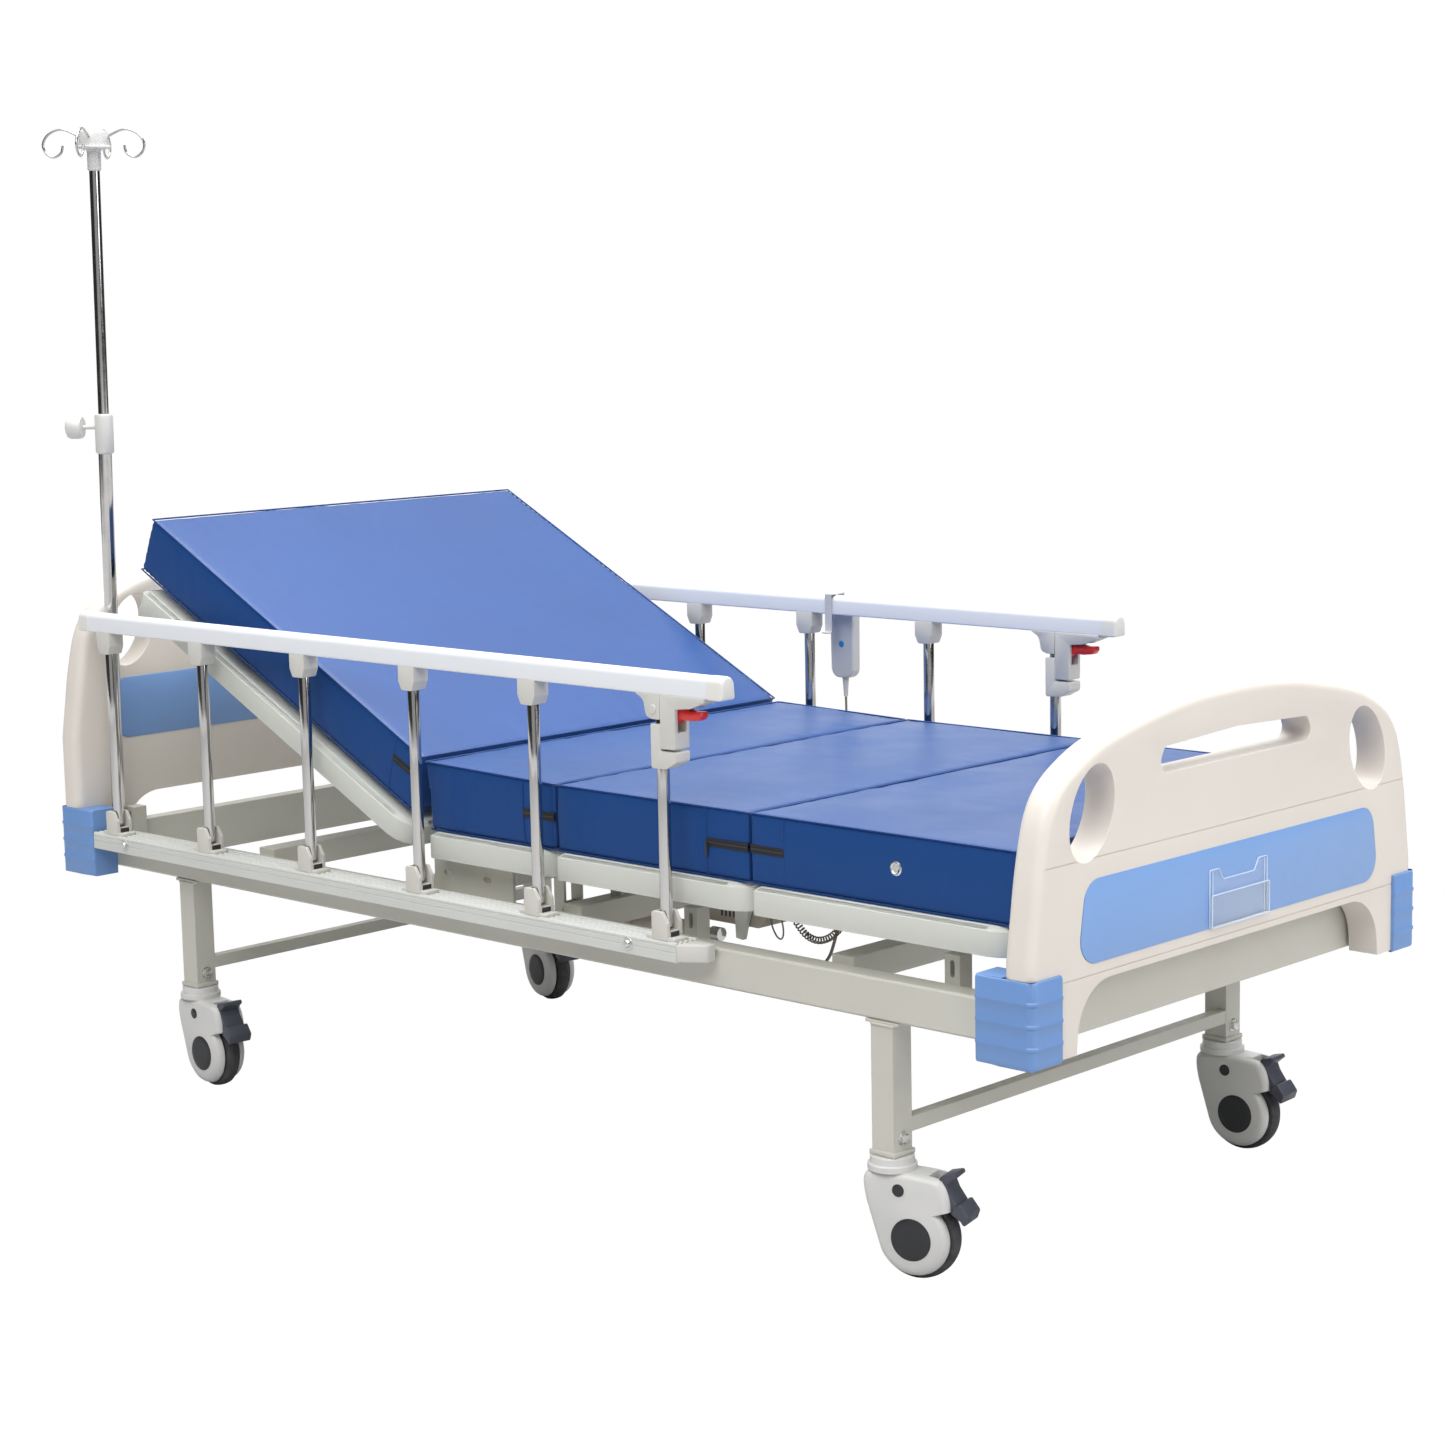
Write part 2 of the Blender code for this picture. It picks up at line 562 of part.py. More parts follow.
def make_board(name, end, rise, arch_rise):
    x0, x1 = sorted((end * (BOARD_IN - 0.02), end * (BOARD_OUT + 0.02)))
    arch_top = 0.457 + arch_rise
    arch = rounded([(-0.389, 0.30), (0.389, 0.30), (0.375, arch_top), (-0.375, arch_top)],
                   [0, 0, 0.075, 0.075], 5)
    slot = rounded([(-0.200, 0.720 + rise), (0.200, 0.720 + rise), (0.180, 0.757 + rise),
                    (0.0, 0.764 + rise), (-0.180, 0.757 + rise)],
                   [0.016, 0.016, 0.011, 0.15, 0.011], 3)
    cuts = [prism(arch, "X", x0, x1), prism(slot, "X", x0, x1)]
    cuts += [prism(tilted_oval(side, rise), "X", x0, x1) for side in (-1, 1)]
    node(name, BOARD, [board_body(rise, end)], cuts)


def make_card_holder():
    back_plate = block((1.1129, -0.073, 0.483), (1.1149, 0.073, 0.566))
    lower_lip = block((1.1129, -0.073, 0.483), (1.1199, 0.073, 0.4855))
    front = block((1.1179, -0.073, 0.483), (1.1199, 0.073, 0.545))
    sides = [block((1.1129, y - 0.0012, 0.483), (1.1199, y + 0.0012, 0.545)) for y in (-0.0718, 0.0718)]
    node("card_holder", CLEAR, [back_plate, lower_lip, front, *sides], smooth=False)


def bumper_outline(end, side, grow=0.0):
    """Plan of a corner bumper: a thick pad beside the frame tube and a thin wrap round the board's foot."""
    outer_x, outer_y = BUMPER_X - grow, BUMPER_Y - grow
    corners = [(1.018, 0.4346), (1.0622, 0.4346), (1.0622, 0.4842), (1.1129, 0.4842), (1.1129, 0.4223),
               (outer_x, 0.4223), (outer_x, outer_y), (1.018, outer_y)]
    points = rounded(corners, [0, 0, 0, 0, 0, 0, 0.014, 0.006], 4)
    return [(end * a, side * b) for a, b in points]


def make_bumpers():
    for place in SWIVEL_DEG:
        end = 1 if "foot" in place else -1
        side = 1 if "far" in place else -1
        levels = [(0.003, BUMPER_LOW), (0.0, BUMPER_LOW + 0.004), (0.0, BUMPER_HIGH - 0.004),
                  (0.003, BUMPER_HIGH)]
        rings = [[(a, b, z) for a, b in bumper_outline(end, side, grow)] for grow, z in levels]
        node(f"bumper_{place}", BUMPER, [loft(rings)])


# ---------------------------------------------------------------- side rails


def rail_channel(side):
    """Ribbed aluminium channel on the outside of the side tube, with a tapered plastic foot end."""
    ribs = []
    for i in range(5):
        y = 0.4375 + 0.0105 * i
        ribs += [(y, CHANNEL_HIGH - 0.0025), (y + 0.0015, CHANNEL_HIGH), (y + 0.0055, CHANNEL_HIGH),
                 (y + 0.0070, CHANNEL_HIGH - 0.0025)]
    profile = [(0.4350, CHANNEL_LOW), (0.4350, CHANNEL_HIGH - 0.0025), *ribs,
               (0.4870, CHANNEL_HIGH - 0.0030), (0.4870, CHANNEL_LOW)]
    return prism([(side * a, b) for a, b in profile], "X", -1.013, 0.461)


def rail_nose(side):
    outline = [(0.460, 0.4350), (0.500, 0.4420), (0.500, 0.4600), (0.460, 0.4866)]
    return prism([(a, side * b) for a, b in outline], "Z", CHANNEL_LOW + 0.001, CHANNEL_HIGH - 0.003)


def rail_clamp(x, side):
    y = side * RAIL_Y
    plate = block((x - 0.030, y - 0.0145, CHANNEL_HIGH - 0.003),
                  (x + 0.030, y + 0.0145, CHANNEL_HIGH + 0.005))
    body = block((x - 0.0165, y - 0.016, CHANNEL_HIGH), (x + 0.0165, y + 0.016, CLAMP_TOP), 0.002)
    return [plate, body]


def clamp_slot(x, side):
    y = side * RAIL_Y
    return block((x - 0.0103, y - 0.0101, 0.4565), (x + 0.040, y + 0.0101, 0.520))


def rail_post(x, side):
    y = side * RAIL_Y
    profile = [(0.0035, -0.0088), (0.0080, -0.0051), (POST_R, 0.0)]
    length = PIVOT_HIGH - PIVOT_LOW
    profile += [(r, length - h) for r, h in reversed(profile)]
    return turned(profile, (x, y, PIVOT_LOW), (0, 0, 1), 12)


def latch_catch(x, side):
    """L-shaped catch clamped round the last post."""
    y = side * RAIL_Y
    outline = [(x - 0.0100, 0.6990), (x + 0.0200, 0.7000), (x + 0.0410, 0.7110), (x + 0.0410, 0.7262),
               (x + 0.0100, 0.7262),
               (x + 0.0100, 0.7655), (x - 0.0100, 0.7655)]
    return prism(outline, "Y", y - 0.0150, y + 0.0150)


def rail_bracket(x, side):
    y = side * RAIL_Y
    outline = [(x - 0.012, 0.7710), (x + 0.013, 0.7710), (x + 0.019, 0.7840), (x + 0.019, RAIL_LOW + 0.002),
               (x - 0.019, RAIL_LOW + 0.002), (x - 0.019, 0.7840)]
    return prism(outline, "Y", y - 0.0150, y + 0.0150)


def bracket_gap(x, side):
    y = side * RAIL_Y
    return block((x - 0.030, y - 0.0101, 0.760), (x + 0.0101, y + 0.0101, PIVOT_HIGH + 0.0103))


def rail_bar(side, ends):
    y = side * RAIL_Y
    profile = rounded([(y - 0.015, RAIL_LOW), (y + 0.015, RAIL_LOW), (y + 0.0125, RAIL_HIGH),
                       (y - 0.0125, RAIL_HIGH)],
                      [0.002, 0.002, 0.0118, 0.0118], 3)
    return prism(profile, "X", *ends)


def latch_housing(x, side):
    """Fixed half of the latch, under the bar on the foot side of the last post."""
    y = side * RAIL_Y
    outline = [(x + 0.0104, 0.7295), (x + 0.0400, 0.7295), (x + 0.0400, 0.7900), (x + 0.0710, 0.7925),
               (x + 0.1000, 0.8050),
               (x + 0.1000, RAIL_LOW + 0.002), (x + 0.0104, RAIL_LOW + 0.002)]
    return prism(outline, "Y", y - 0.0155, y + 0.0155)


def trigger_room(x, side):
    y = side * RAIL_Y
    return block((x + 0.0210, y - 0.0090, 0.760), (x + 0.0880, y + 0.0090, 0.7960))


def trigger(x, side):
    y = side * RAIL_Y
    outline = [(x + 0.0220, 0.7910), (x + 0.0240, 0.7720), (x + 0.0320, 0.7690), (x + 0.0380, 0.7790),
               (x + 0.0700, 0.7785),
               (x + 0.0860, 0.7850), (x + 0.0860, 0.7890), (x + 0.0700, 0.7870), (x + 0.0520, 0.7910)]
    return prism(outline, "Y", y - 0.0080, y + 0.0080)


def make_side_rail(place, side):
    spots = [x + RAIL_SHIFT[place] for x in POST_X]
    last = spots[-1]
    base = [rail_channel(side), rail_nose(side)]
    for x in spots:
        base += rail_clamp(x, side)
    node(f"rail_base_{place}", ALUMINIUM, base, [clamp_slot(x, side) for x in spots])
    for i, x in enumerate(spots):
        pieces = [rail_post(x, side)]
        if x == last:
            pieces.append(latch_catch(x, side))
        node(f"rail_post_{place}_{i + 1}", STAINLESS, pieces, pivot=(x, side * RAIL_Y, PIVOT_LOW))
    bar = [rail_bar(side, [x + RAIL_SHIFT[place] for x in RAIL_ENDS])]
    bar += [rail_bracket(x, side) for x in spots] + [latch_housing(last, side)]
    cuts = [bracket_gap(x, side) for x in spots] + [trigger_room(last, side)]
    node(f"rail_bar_{place}", ALUMINIUM, bar, cuts, pivot=(last, side * RAIL_Y, PIVOT_HIGH))
    node(f"rail_trigger_{place}", RED, [trigger(last, side)], pivot=(last + 0.026, side * RAIL_Y, 0.788))


# ---------------------------------------------------------------- infusion pole


def on_pole(height, out=0.0, turn=0.0):
    """Point on the pole's axis at a length above its foot, moved sideways by out at an angle."""
    side = Vector((POLE_DIR.z, 0.0, -POLE_DIR.x))
    other = POLE_DIR.cross(side)
    return POLE_BASE + POLE_DIR * height + out * (cos(turn) * side + sin(turn) * other)


def hook(turn):
    """Bent wire arm with a hanging loop, as short straight rods along its curve."""
    path = [(0.020, 1.247), (0.055, 1.262), (0.080, 1.255), (0.092, 1.238), (0.088, 1.222), (0.074, 1.214),
            (0.060, 1.221), (0.056, 1.234)]
    spots = [on_pole(h, out, turn) for out, h in path]
    return [rod(a, b + (b - a).normalized() * 0.001, 0.0022, sides=6) for a, b in zip(spots, spots[1:])]


def make_pole():
    tube = turned([(0.0120, 0.0), (0.0120, 0.690), (0.0165, 0.691), (0.0165, 0.762)], POLE_BASE, POLE_DIR,
                  20)
    bore = rod(on_pole(0.008), on_pole(0.80), 0.0102, sides=16)
    node("iv_pole_lower", STAINLESS, [tube], [bore])
    upper = turned([(0.0095, 0.465), (0.0095, 1.190), (0.0120, 1.192), (0.0120, 1.226), (0.0315, 1.228),
                    (0.0315, 1.232),
                    (0.0260, 1.234), (0.0260, 1.256), (0.0100, 1.262)], POLE_BASE, POLE_DIR, 20)
    wires = [piece for k in range(4) for piece in hook(HOOK_TURN + k * pi / 2)]
    node("iv_pole_upper", STAINLESS, [upper, *wires])
    out = Vector((cos(KNOB_TURN), sin(KNOB_TURN), 0.0))
    root = on_pole(0.738) + out * 0.0169
    knob = turned([(0.0040, 0.0), (0.0040, 0.022), (0.0190, 0.023), (0.0205, 0.030), (0.0205, 0.045),
                   (0.0170, 0.052)], root, out, 20)
    node("iv_knob", WHITE, [knob], pivot=tuple(root))


# ---------------------------------------------------------------- drives, control box and handset


def make_drive(name, pivot, tip, y):
    """Linear actuator: motor and outer tube on one pivot, with a rod that slides out of the tube."""
    start, end = Vector((pivot[0], y, pivot[1])), Vector((tip[0], y, tip[1]))
    along = (end - start).normalized()
    length = (end - start).length
    eye = prism(circle(pivot[0], pivot[1], 0.010, 12), "Y", y - 0.0165, y + 0.0165)
    neck = rod(start + along * 0.006, start + along * 0.050, 0.009, sides=12)
    gearbox = rod(start + along * 0.045, start + along * 0.095, 0.0180, sides=12)
    motor_y = y - 0.045
    motor_end = Vector((start.x, motor_y, start.z))
    motor = rod(motor_end + along * 0.050, motor_end + along * 0.175, 0.0215, sides=16)
    bridge = block_between(start + along * 0.050, start + along * 0.090, motor_y, y)
    tube = rod(start + along * 0.090, start + along * (length - 0.085), 0.0135, sides=16)
    bore = rod(start + along * 0.100, end, 0.0085, sides=12)
    node(f"{name}_drive", ACTUATOR, [gearbox, neck, eye, motor, bridge, tube], [bore], pivot=tuple(start))
    inner = rod(start + along * 0.150, end - along * 0.026, 0.0080, sides=12)
    fork = rod(end - along * 0.034, end - along * 0.014, 0.0115, sides=12)
    node(f"{name}_drive_rod", STAINLESS, [inner, fork], pivot=tuple(end))


def block_between(start, end, y0, y1):
    return block((min(start.x, end.x), y0, start.z - 0.014), (max(start.x, end.x), y1, start.z + 0.012))


def make_control_box():
    """Box under the middle cross tube, with a short cable looped from its foot end."""
    case = prism([(0.100, 0.354), (0.214, 0.354), (0.231, 0.370), (0.231, 0.4040), (0.100, 0.4040)], "Y",
                 -0.042, 0.042)
    loop = [(0.2290, 0.3720), (0.2350, 0.3560), (0.2440, 0.3430), (0.2530, 0.3400), (0.2580, 0.3480),
            (0.2570, 0.3640),
            (0.2500, 0.3780), (0.2400, 0.3860), (0.2290, 0.3880)]
    spots = [Vector((x, -0.030, z)) for x, z in loop]
    wires = [rod(a, b + (b - a).normalized() * 0.0008, 0.0014, sides=6) for a, b in zip(spots, spots[1:])]
    node("control_box", ACTUATOR, [case, *wires], smooth=False)


def make_handset():
    body = rounded([(-0.086, 0.690), (-0.034, 0.690), (-0.032, 0.840), (-0.088, 0.840)],
                   [0.018, 0.018, 0.008, 0.008], 3)
    shell = prism(body, "Y", 0.4874, 0.5090)
    keys = block((-0.080, 0.5080, 0.715), (-0.040, 0.5110, 0.825))
    over = [block((-0.068, 0.4520, 0.8440), (-0.052, 0.4890, 0.8470)),
            block((-0.068, 0.4520, 0.7770), (-0.052, 0.4535, 0.8450)),
            block((-0.068, 0.4420, 0.7750), (-0.052, 0.4535, 0.7785)),
            block((-0.068, 0.4874, 0.8300), (-0.052, 0.4890, 0.8470))]
    relief_sleeve = rod((-0.060, 0.4980, 0.6905), (-0.060, 0.4980, 0.6550), 0.0060, 0.0040, sides=10)
    node("handset", HANDSET, [shell, keys, *over, relief_sleeve])


def tube_along(route, radius, name):
    """Round cord through the route's points, as one curve object with filled caps."""
    spots = curve_through(route, CORD_STEPS)
    data = bpy.data.curves.new(name, "CURVE")
    data.dimensions = "3D"
    data.bevel_depth = radius
    data.bevel_resolution = 2
    data.use_fill_caps = True
    spline = data.splines.new("POLY")
    spline.points.add(len(spots) - 1)
    for point, spot in zip(spline.points, spots):
        point.co = (*spot, 1.0)
    obj = bpy.data.objects.new(name, data)
    bpy.context.scene.collection.objects.link(obj)
    data.materials.append(material(CORD))
    return obj


def make_leads():
    """Handset lead, its curled stretch and the supply lead, under the deck."""
    tube_along(HANDSET_ROUTE, CORD_R, "handset_lead")
    coil = curve_through(COIL_ROUTE, 3)
    rings = []
    for i, spot in enumerate(coil):
        along = (coil[min(i + 1, len(coil) - 1)] - coil[max(i - 1, 0)]).normalized()
        side = Vector((0.0, 1.0, 0.0))
        other = along.cross(side)
        rings.append([spot + COIL_R * (cos(2 * pi * k / 10) * side + sin(2 * pi * k / 10) * other)
                      for k in range(10)])
    node("handset_coil", CORD, [loft(rings)])
    tube_along(SUPPLY_ROUTE, SUPPLY_R, "supply_lead")


# ---------------------------------------------------------------- the bed


def hang_together():
    """Parents every moving part to the part that carries it, at its place."""
    carried = {"mattress_back": "back_deck", "thigh_deck": "bed_frame", "foot_deck": "thigh_deck",
               "mattress_thigh": "thigh_deck",
               "mattress_foot": "foot_deck", "back_deck": "bed_frame", "iv_pole_upper": "iv_pole_lower",
               "iv_knob": "iv_pole_lower", "handset": "rail_bar_far"}
    for place in SWIVEL_DEG:
        carried[f"caster_wheel_{place}"] = f"caster_housing_{place}"
        carried[f"brake_pedal_{place}"] = f"caster_housing_{place}"
    for place in ("near", "far"):
        carried[f"rail_bar_{place}"] = f"rail_post_{place}_6"
        carried[f"rail_trigger_{place}"] = f"rail_bar_{place}"
        for i in range(6):
            carried[f"rail_post_{place}_{i + 1}"] = f"rail_base_{place}"
    for name in ("back", "thigh"):
        carried[f"{name}_drive_rod"] = f"{name}_drive"
    bpy.context.view_layer.update()
    for child, parent in carried.items():
        piece, holder = bpy.data.objects[child], bpy.data.objects[parent]
        place_in_world = piece.matrix_world.copy()
        piece.parent = holder
        piece.matrix_parent_inverse = holder.matrix_world.inverted()
        piece.matrix_world = place_in_world
        bpy.context.view_layer.update()


def make_bed():
    clear_scene()
    make_bed_frame()
    make_leg_frames()
    make_casters()
    make_decks()
    make_mattress()
    make_board("footboard", 1, 0.0, 0.0)
    make_board("headboard", -1, HEADBOARD_RISE, 0.0345)
    make_card_holder()
    make_bumpers()
    make_side_rail("near", -1)
    make_side_rail("far", 1)
    make_pole()
    make_drive("back", BACK_DRIVE, BACK_DRIVE_TIP, BACK_DRIVE_Y)
    make_drive("thigh", THIGH_DRIVE, THIGH_DRIVE_TIP, THIGH_DRIVE_Y)
    make_control_box()
    make_handset()
    make_leads()
    hang_together()


make_bed()
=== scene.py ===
"""Looks of the adjustable hospital bed, built around its frame. Metres, +X foot end, -Y near side, +Z up."""

import json
from math import cos, pi, radians, sin, tan

import bmesh
import bpy
import numpy as np
from mathutils import Matrix, Vector, noise

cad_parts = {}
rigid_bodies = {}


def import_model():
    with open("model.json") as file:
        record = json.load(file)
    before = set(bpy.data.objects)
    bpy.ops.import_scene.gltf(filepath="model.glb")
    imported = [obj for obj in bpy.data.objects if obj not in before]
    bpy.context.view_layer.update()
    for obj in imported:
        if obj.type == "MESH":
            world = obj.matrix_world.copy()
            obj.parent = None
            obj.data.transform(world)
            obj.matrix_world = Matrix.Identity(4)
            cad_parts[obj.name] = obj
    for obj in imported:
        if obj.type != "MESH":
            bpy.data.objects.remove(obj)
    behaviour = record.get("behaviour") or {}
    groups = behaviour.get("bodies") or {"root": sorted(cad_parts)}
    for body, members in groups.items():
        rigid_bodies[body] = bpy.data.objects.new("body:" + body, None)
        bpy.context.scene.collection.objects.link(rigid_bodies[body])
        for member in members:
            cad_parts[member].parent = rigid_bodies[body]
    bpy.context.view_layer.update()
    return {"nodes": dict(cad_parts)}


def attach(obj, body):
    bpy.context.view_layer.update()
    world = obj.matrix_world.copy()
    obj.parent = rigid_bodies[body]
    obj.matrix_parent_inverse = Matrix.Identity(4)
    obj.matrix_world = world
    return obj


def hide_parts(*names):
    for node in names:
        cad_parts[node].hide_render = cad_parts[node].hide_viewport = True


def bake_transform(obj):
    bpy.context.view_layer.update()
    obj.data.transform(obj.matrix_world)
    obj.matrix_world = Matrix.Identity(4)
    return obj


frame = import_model()

CORNERS = ("near_foot", "near_head", "far_foot", "far_head")
SIDES = {"near": -1, "far": 1}
SWIVEL_DEG = {"near_foot": 15.0, "near_head": -4.0, "far_foot": 3.0, "far_head": -14.0}


# ---------------------------------------------------------------- camera, floor and light


def make_camera():
    azimuth, elevation, roll = radians(43.576), radians(8.377), radians(-1.164)
    back = Vector((sin(azimuth) * cos(elevation), -cos(azimuth) * cos(elevation), sin(elevation)))
    right = (-back).cross(Vector((0, 0, 1))).normalized()
    up = right.cross(-back)
    right_rolled = cos(roll) * right + sin(roll) * up
    up_rolled = cos(roll) * up - sin(roll) * right
    camera = bpy.data.objects.new("camera", bpy.data.cameras.new("camera"))
    camera.data.lens = 72.656
    camera.data.sensor_width = 36.0
    camera.data.clip_end = 60.0
    turn = Matrix((right_rolled, up_rolled, back)).transposed().to_4x4()
    camera.matrix_world = Matrix.Translation((3.40220, -3.46836, 1.38600)) @ turn
    bpy.context.scene.collection.objects.link(camera)
    bpy.context.scene.camera = camera


def area_light(name, place, target, size, power):
    light = bpy.data.lights.new(name, "AREA")
    light.shape = "RECTANGLE"
    light.size, light.size_y = size
    light.energy = power
    obj = bpy.data.objects.new(name, light)
    obj.location = place
    obj.rotation_euler = (Vector(target) - Vector(place)).to_track_quat("-Z", "Y").to_euler()
    bpy.context.scene.collection.objects.link(obj)


def flat_square(name, half, z, material):
    work = bmesh.new()
    bmesh.ops.create_grid(work, x_segments=1, y_segments=1, size=half, matrix=Matrix.Translation((0, 0, z)))
    data = bpy.data.meshes.new(name)
    work.to_mesh(data)
    work.free()
    data.materials.append(material)
    obj = bpy.data.objects.new(name, data)
    bpy.context.scene.collection.objects.link(obj)
    return obj


def share_towards(tree, where, direction, low, high, both_ways=False):
    """Share that rises from 0 to 1 as a view direction turns toward the given one, or its opposite too."""
    dot = tree.nodes.new("ShaderNodeVectorMath")
    dot.operation = "DOT_PRODUCT"
    dot.inputs[1].default_value = direction
    tree.links.new(where, dot.inputs[0])
    value = dot.outputs["Value"]
    if both_ways:
        size = tree.nodes.new("ShaderNodeMath")
        size.operation = "ABSOLUTE"
        tree.links.new(value, size.inputs[0])
        value = size.outputs[0]
    step = tree.nodes.new("ShaderNodeMapRange")
    step.interpolation_type = "SMOOTHSTEP"
    step.inputs["From Min"].default_value = low
    step.inputs["From Max"].default_value = high
    tree.links.new(value, step.inputs["Value"])
    return step.outputs["Result"]


def studio_world():
    """White backdrop behind the bed, bright ceiling, dark walls left and right, and a dimmer room between."""
    world = bpy.data.worlds.new("studio")
    world.use_nodes = True
    tree = world.node_tree
    where = tree.nodes.new("ShaderNodeTexCoord").outputs["Generated"]
    backdrop = share_towards(tree, where, (-0.69, 0.72, -0.05), 0.80, 0.93)
    ceiling = share_towards(tree, where, (0.0, 0.0, 1.0), 0.45, 0.85)
    sides = share_towards(tree, where, (0.724, 0.690, 0.0), 0.38, 0.62, both_ways=True)
    walls = mix_colour(tree, sides, (ROOM,) * 3, (SIDE_WALL,) * 3)
    room = mix_colour(tree, ceiling, walls, (CEILING,) * 3)
    sky = mix_colour(tree, backdrop, room, (1.0, 1.0, 1.0))
    tree.links.new(sky, tree.nodes["Background"].inputs["Color"])
    tree.nodes["Background"].inputs["Strength"].default_value = 1.0
    bpy.context.scene.world = world


def make_studio():
    bounce = flat_square("floor", 6.0, -0.0005, floor_paint())
    bounce.visible_camera = False
    shown = flat_square("floor_backdrop", 14.0, -0.0010, backdrop_white())
    shown.visible_diffuse = False
    shown.visible_shadow = False
    studio_world()
    area_light("key", (1.6, -3.4, 3.9), (0.0, 0.0, 0.5), (3.2, 2.2), KEY_POWER)
    area_light("fill", (4.4, 0.6, 2.2), (0.6, 0.0, 0.5), (2.0, 2.0), FILL_POWER)
    area_light("top", (-0.2, 0.4, 4.4), (0.0, 0.0, 0.5), (4.0, 2.4), TOP_POWER)


ROOM, SIDE_WALL, CEILING = 0.42, 0.035, 1.85
KEY_POWER, FILL_POWER, TOP_POWER = 92.0, 50.0, 140.0


# ---------------------------------------------------------------- material building


def shader_of(name, colour, rough, metal=0.0):
    """A new material with its node tree, shader and object coordinates."""
    made = bpy.data.materials.new(name)
    made.use_nodes = True
    tree = made.node_tree
    shader = tree.nodes["Principled BSDF"]
    shader.inputs["Base Color"].default_value = (*colour, 1.0)
    shader.inputs["Roughness"].default_value = rough
    shader.inputs["Metallic"].default_value = metal
    return made, tree, shader


def spots(tree):
    return tree.nodes.new("ShaderNodeTexCoord").outputs["Object"]


def noise_node(tree, vector, scale, detail=3.0, rough=0.5, stretch=None):
    if stretch:
        mapping = tree.nodes.new("ShaderNodeMapping")
        mapping.inputs["Scale"].default_value = stretch
        tree.links.new(vector, mapping.inputs["Vector"])
        vector = mapping.outputs["Vector"]
    node = tree.nodes.new("ShaderNodeTexNoise")
    node.inputs["Scale"].default_value = scale
    node.inputs["Detail"].default_value = detail
    node.inputs["Roughness"].default_value = rough
    tree.links.new(vector, node.inputs["Vector"])
    return node.outputs["Fac"]


def ramp(tree, value, low, high, a=0.35, b=0.65):
    """A blend from one value or colour to another as value goes from a to b."""
    node = tree.nodes.new("ShaderNodeValToRGB")
    node.color_ramp.elements[0].position = a
    node.color_ramp.elements[1].position = b
    node.color_ramp.elements[0].color = (*low, 1.0) if hasattr(low, "__len__") else (low, low, low, 1.0)
    node.color_ramp.elements[1].color = (*high, 1.0) if hasattr(high, "__len__") else (high, high, high, 1.0)
    tree.links.new(value, node.inputs["Fac"])
    return node.outputs["Color"]


def mix_colour(tree, share, first, second):
    node = tree.nodes.new("ShaderNodeMix")
    node.data_type = "RGBA"
    for value, socket in ((share, node.inputs["Factor"]), (first, node.inputs[6]), (second, node.inputs[7])):
        if hasattr(value, "is_linked"):
            tree.links.new(value, socket)
        elif hasattr(value, "__len__"):
            socket.default_value = (*value, 1.0)
        else:
            socket.default_value = value
    return node.outputs[2]


def bump(tree, height, strength, distance, below=None):
    node = tree.nodes.new("ShaderNodeBump")
    node.inputs["Strength"].default_value = strength
    node.inputs["Distance"].default_value = distance
    tree.links.new(height, node.inputs["Height"])
    if below is not None:
        tree.links.new(below, node.inputs["Normal"])
    return node.outputs["Normal"]


def soft_edges(tree, radius):
    """Normals rounded over edges at this radius."""
    node = tree.nodes.new("ShaderNodeBevel")
    node.samples = 6
    node.inputs["Radius"].default_value = radius
    return node.outputs["Normal"]


def edge_wear(tree, radius, low, high):
    """Share from 0 to 1 that is high only along convex edges."""
    geometry = tree.nodes.new("ShaderNodeNewGeometry")
    dot = tree.nodes.new("ShaderNodeVectorMath")
    dot.operation = "DOT_PRODUCT"
    tree.links.new(soft_edges(tree, radius), dot.inputs[0])
    tree.links.new(geometry.outputs["Normal"], dot.inputs[1])
    return ramp(tree, dot.outputs["Value"], 1.0, 0.0, low, high)


# ---------------------------------------------------------------- materials


def backdrop_white():
    made, _, shader = shader_of("backdrop_white", (0.0, 0.0, 0.0), 1.0)
    shader.inputs["Emission Color"].default_value = (1.0, 1.0, 1.0, 1.0)
    shader.inputs["Emission Strength"].default_value = 1.0
    return made


def floor_paint():
    made, tree, shader = shader_of("studio_floor", (0.5, 0.5, 0.5), 0.6)
    tone = noise_node(tree, spots(tree), 1.5)
    tree.links.new(ramp(tree, tone, (0.49, 0.49, 0.49), (0.51, 0.51, 0.51)), shader.inputs["Base Color"])
    return made


def powder_coat(name="powder_coat", colour=(0.560, 0.548, 0.488), rounding=0.0022):
    """Semi-gloss powder paint on steel: orange-peel, faint tone drift and slightly brighter worn edges."""
    made, tree, shader = shader_of(name, colour, 0.38)
    where = spots(tree)
    tone = noise_node(tree, where, 4.0, 4.0)
    dark = tuple(c * 0.955 for c in colour)
    light = tuple(min(c * 1.03, 1.0) for c in colour)
    base = ramp(tree, tone, dark, light, 0.3, 0.7)
    worn = edge_wear(tree, 0.0016, 0.90, 0.995)
    tree.links.new(mix_colour(tree, worn, base, tuple(min(c * 1.12, 1.0) for c in colour)),
                   shader.inputs["Base Color"])
    tree.links.new(ramp(tree, noise_node(tree, where, 60.0, 2.0), 0.33, 0.45), shader.inputs["Roughness"])
    peel = bump(tree, noise_node(tree, where, 700.0, 2.0), 0.10, 0.0004, soft_edges(tree, rounding))
    tree.links.new(peel, shader.inputs["Normal"])
    return made


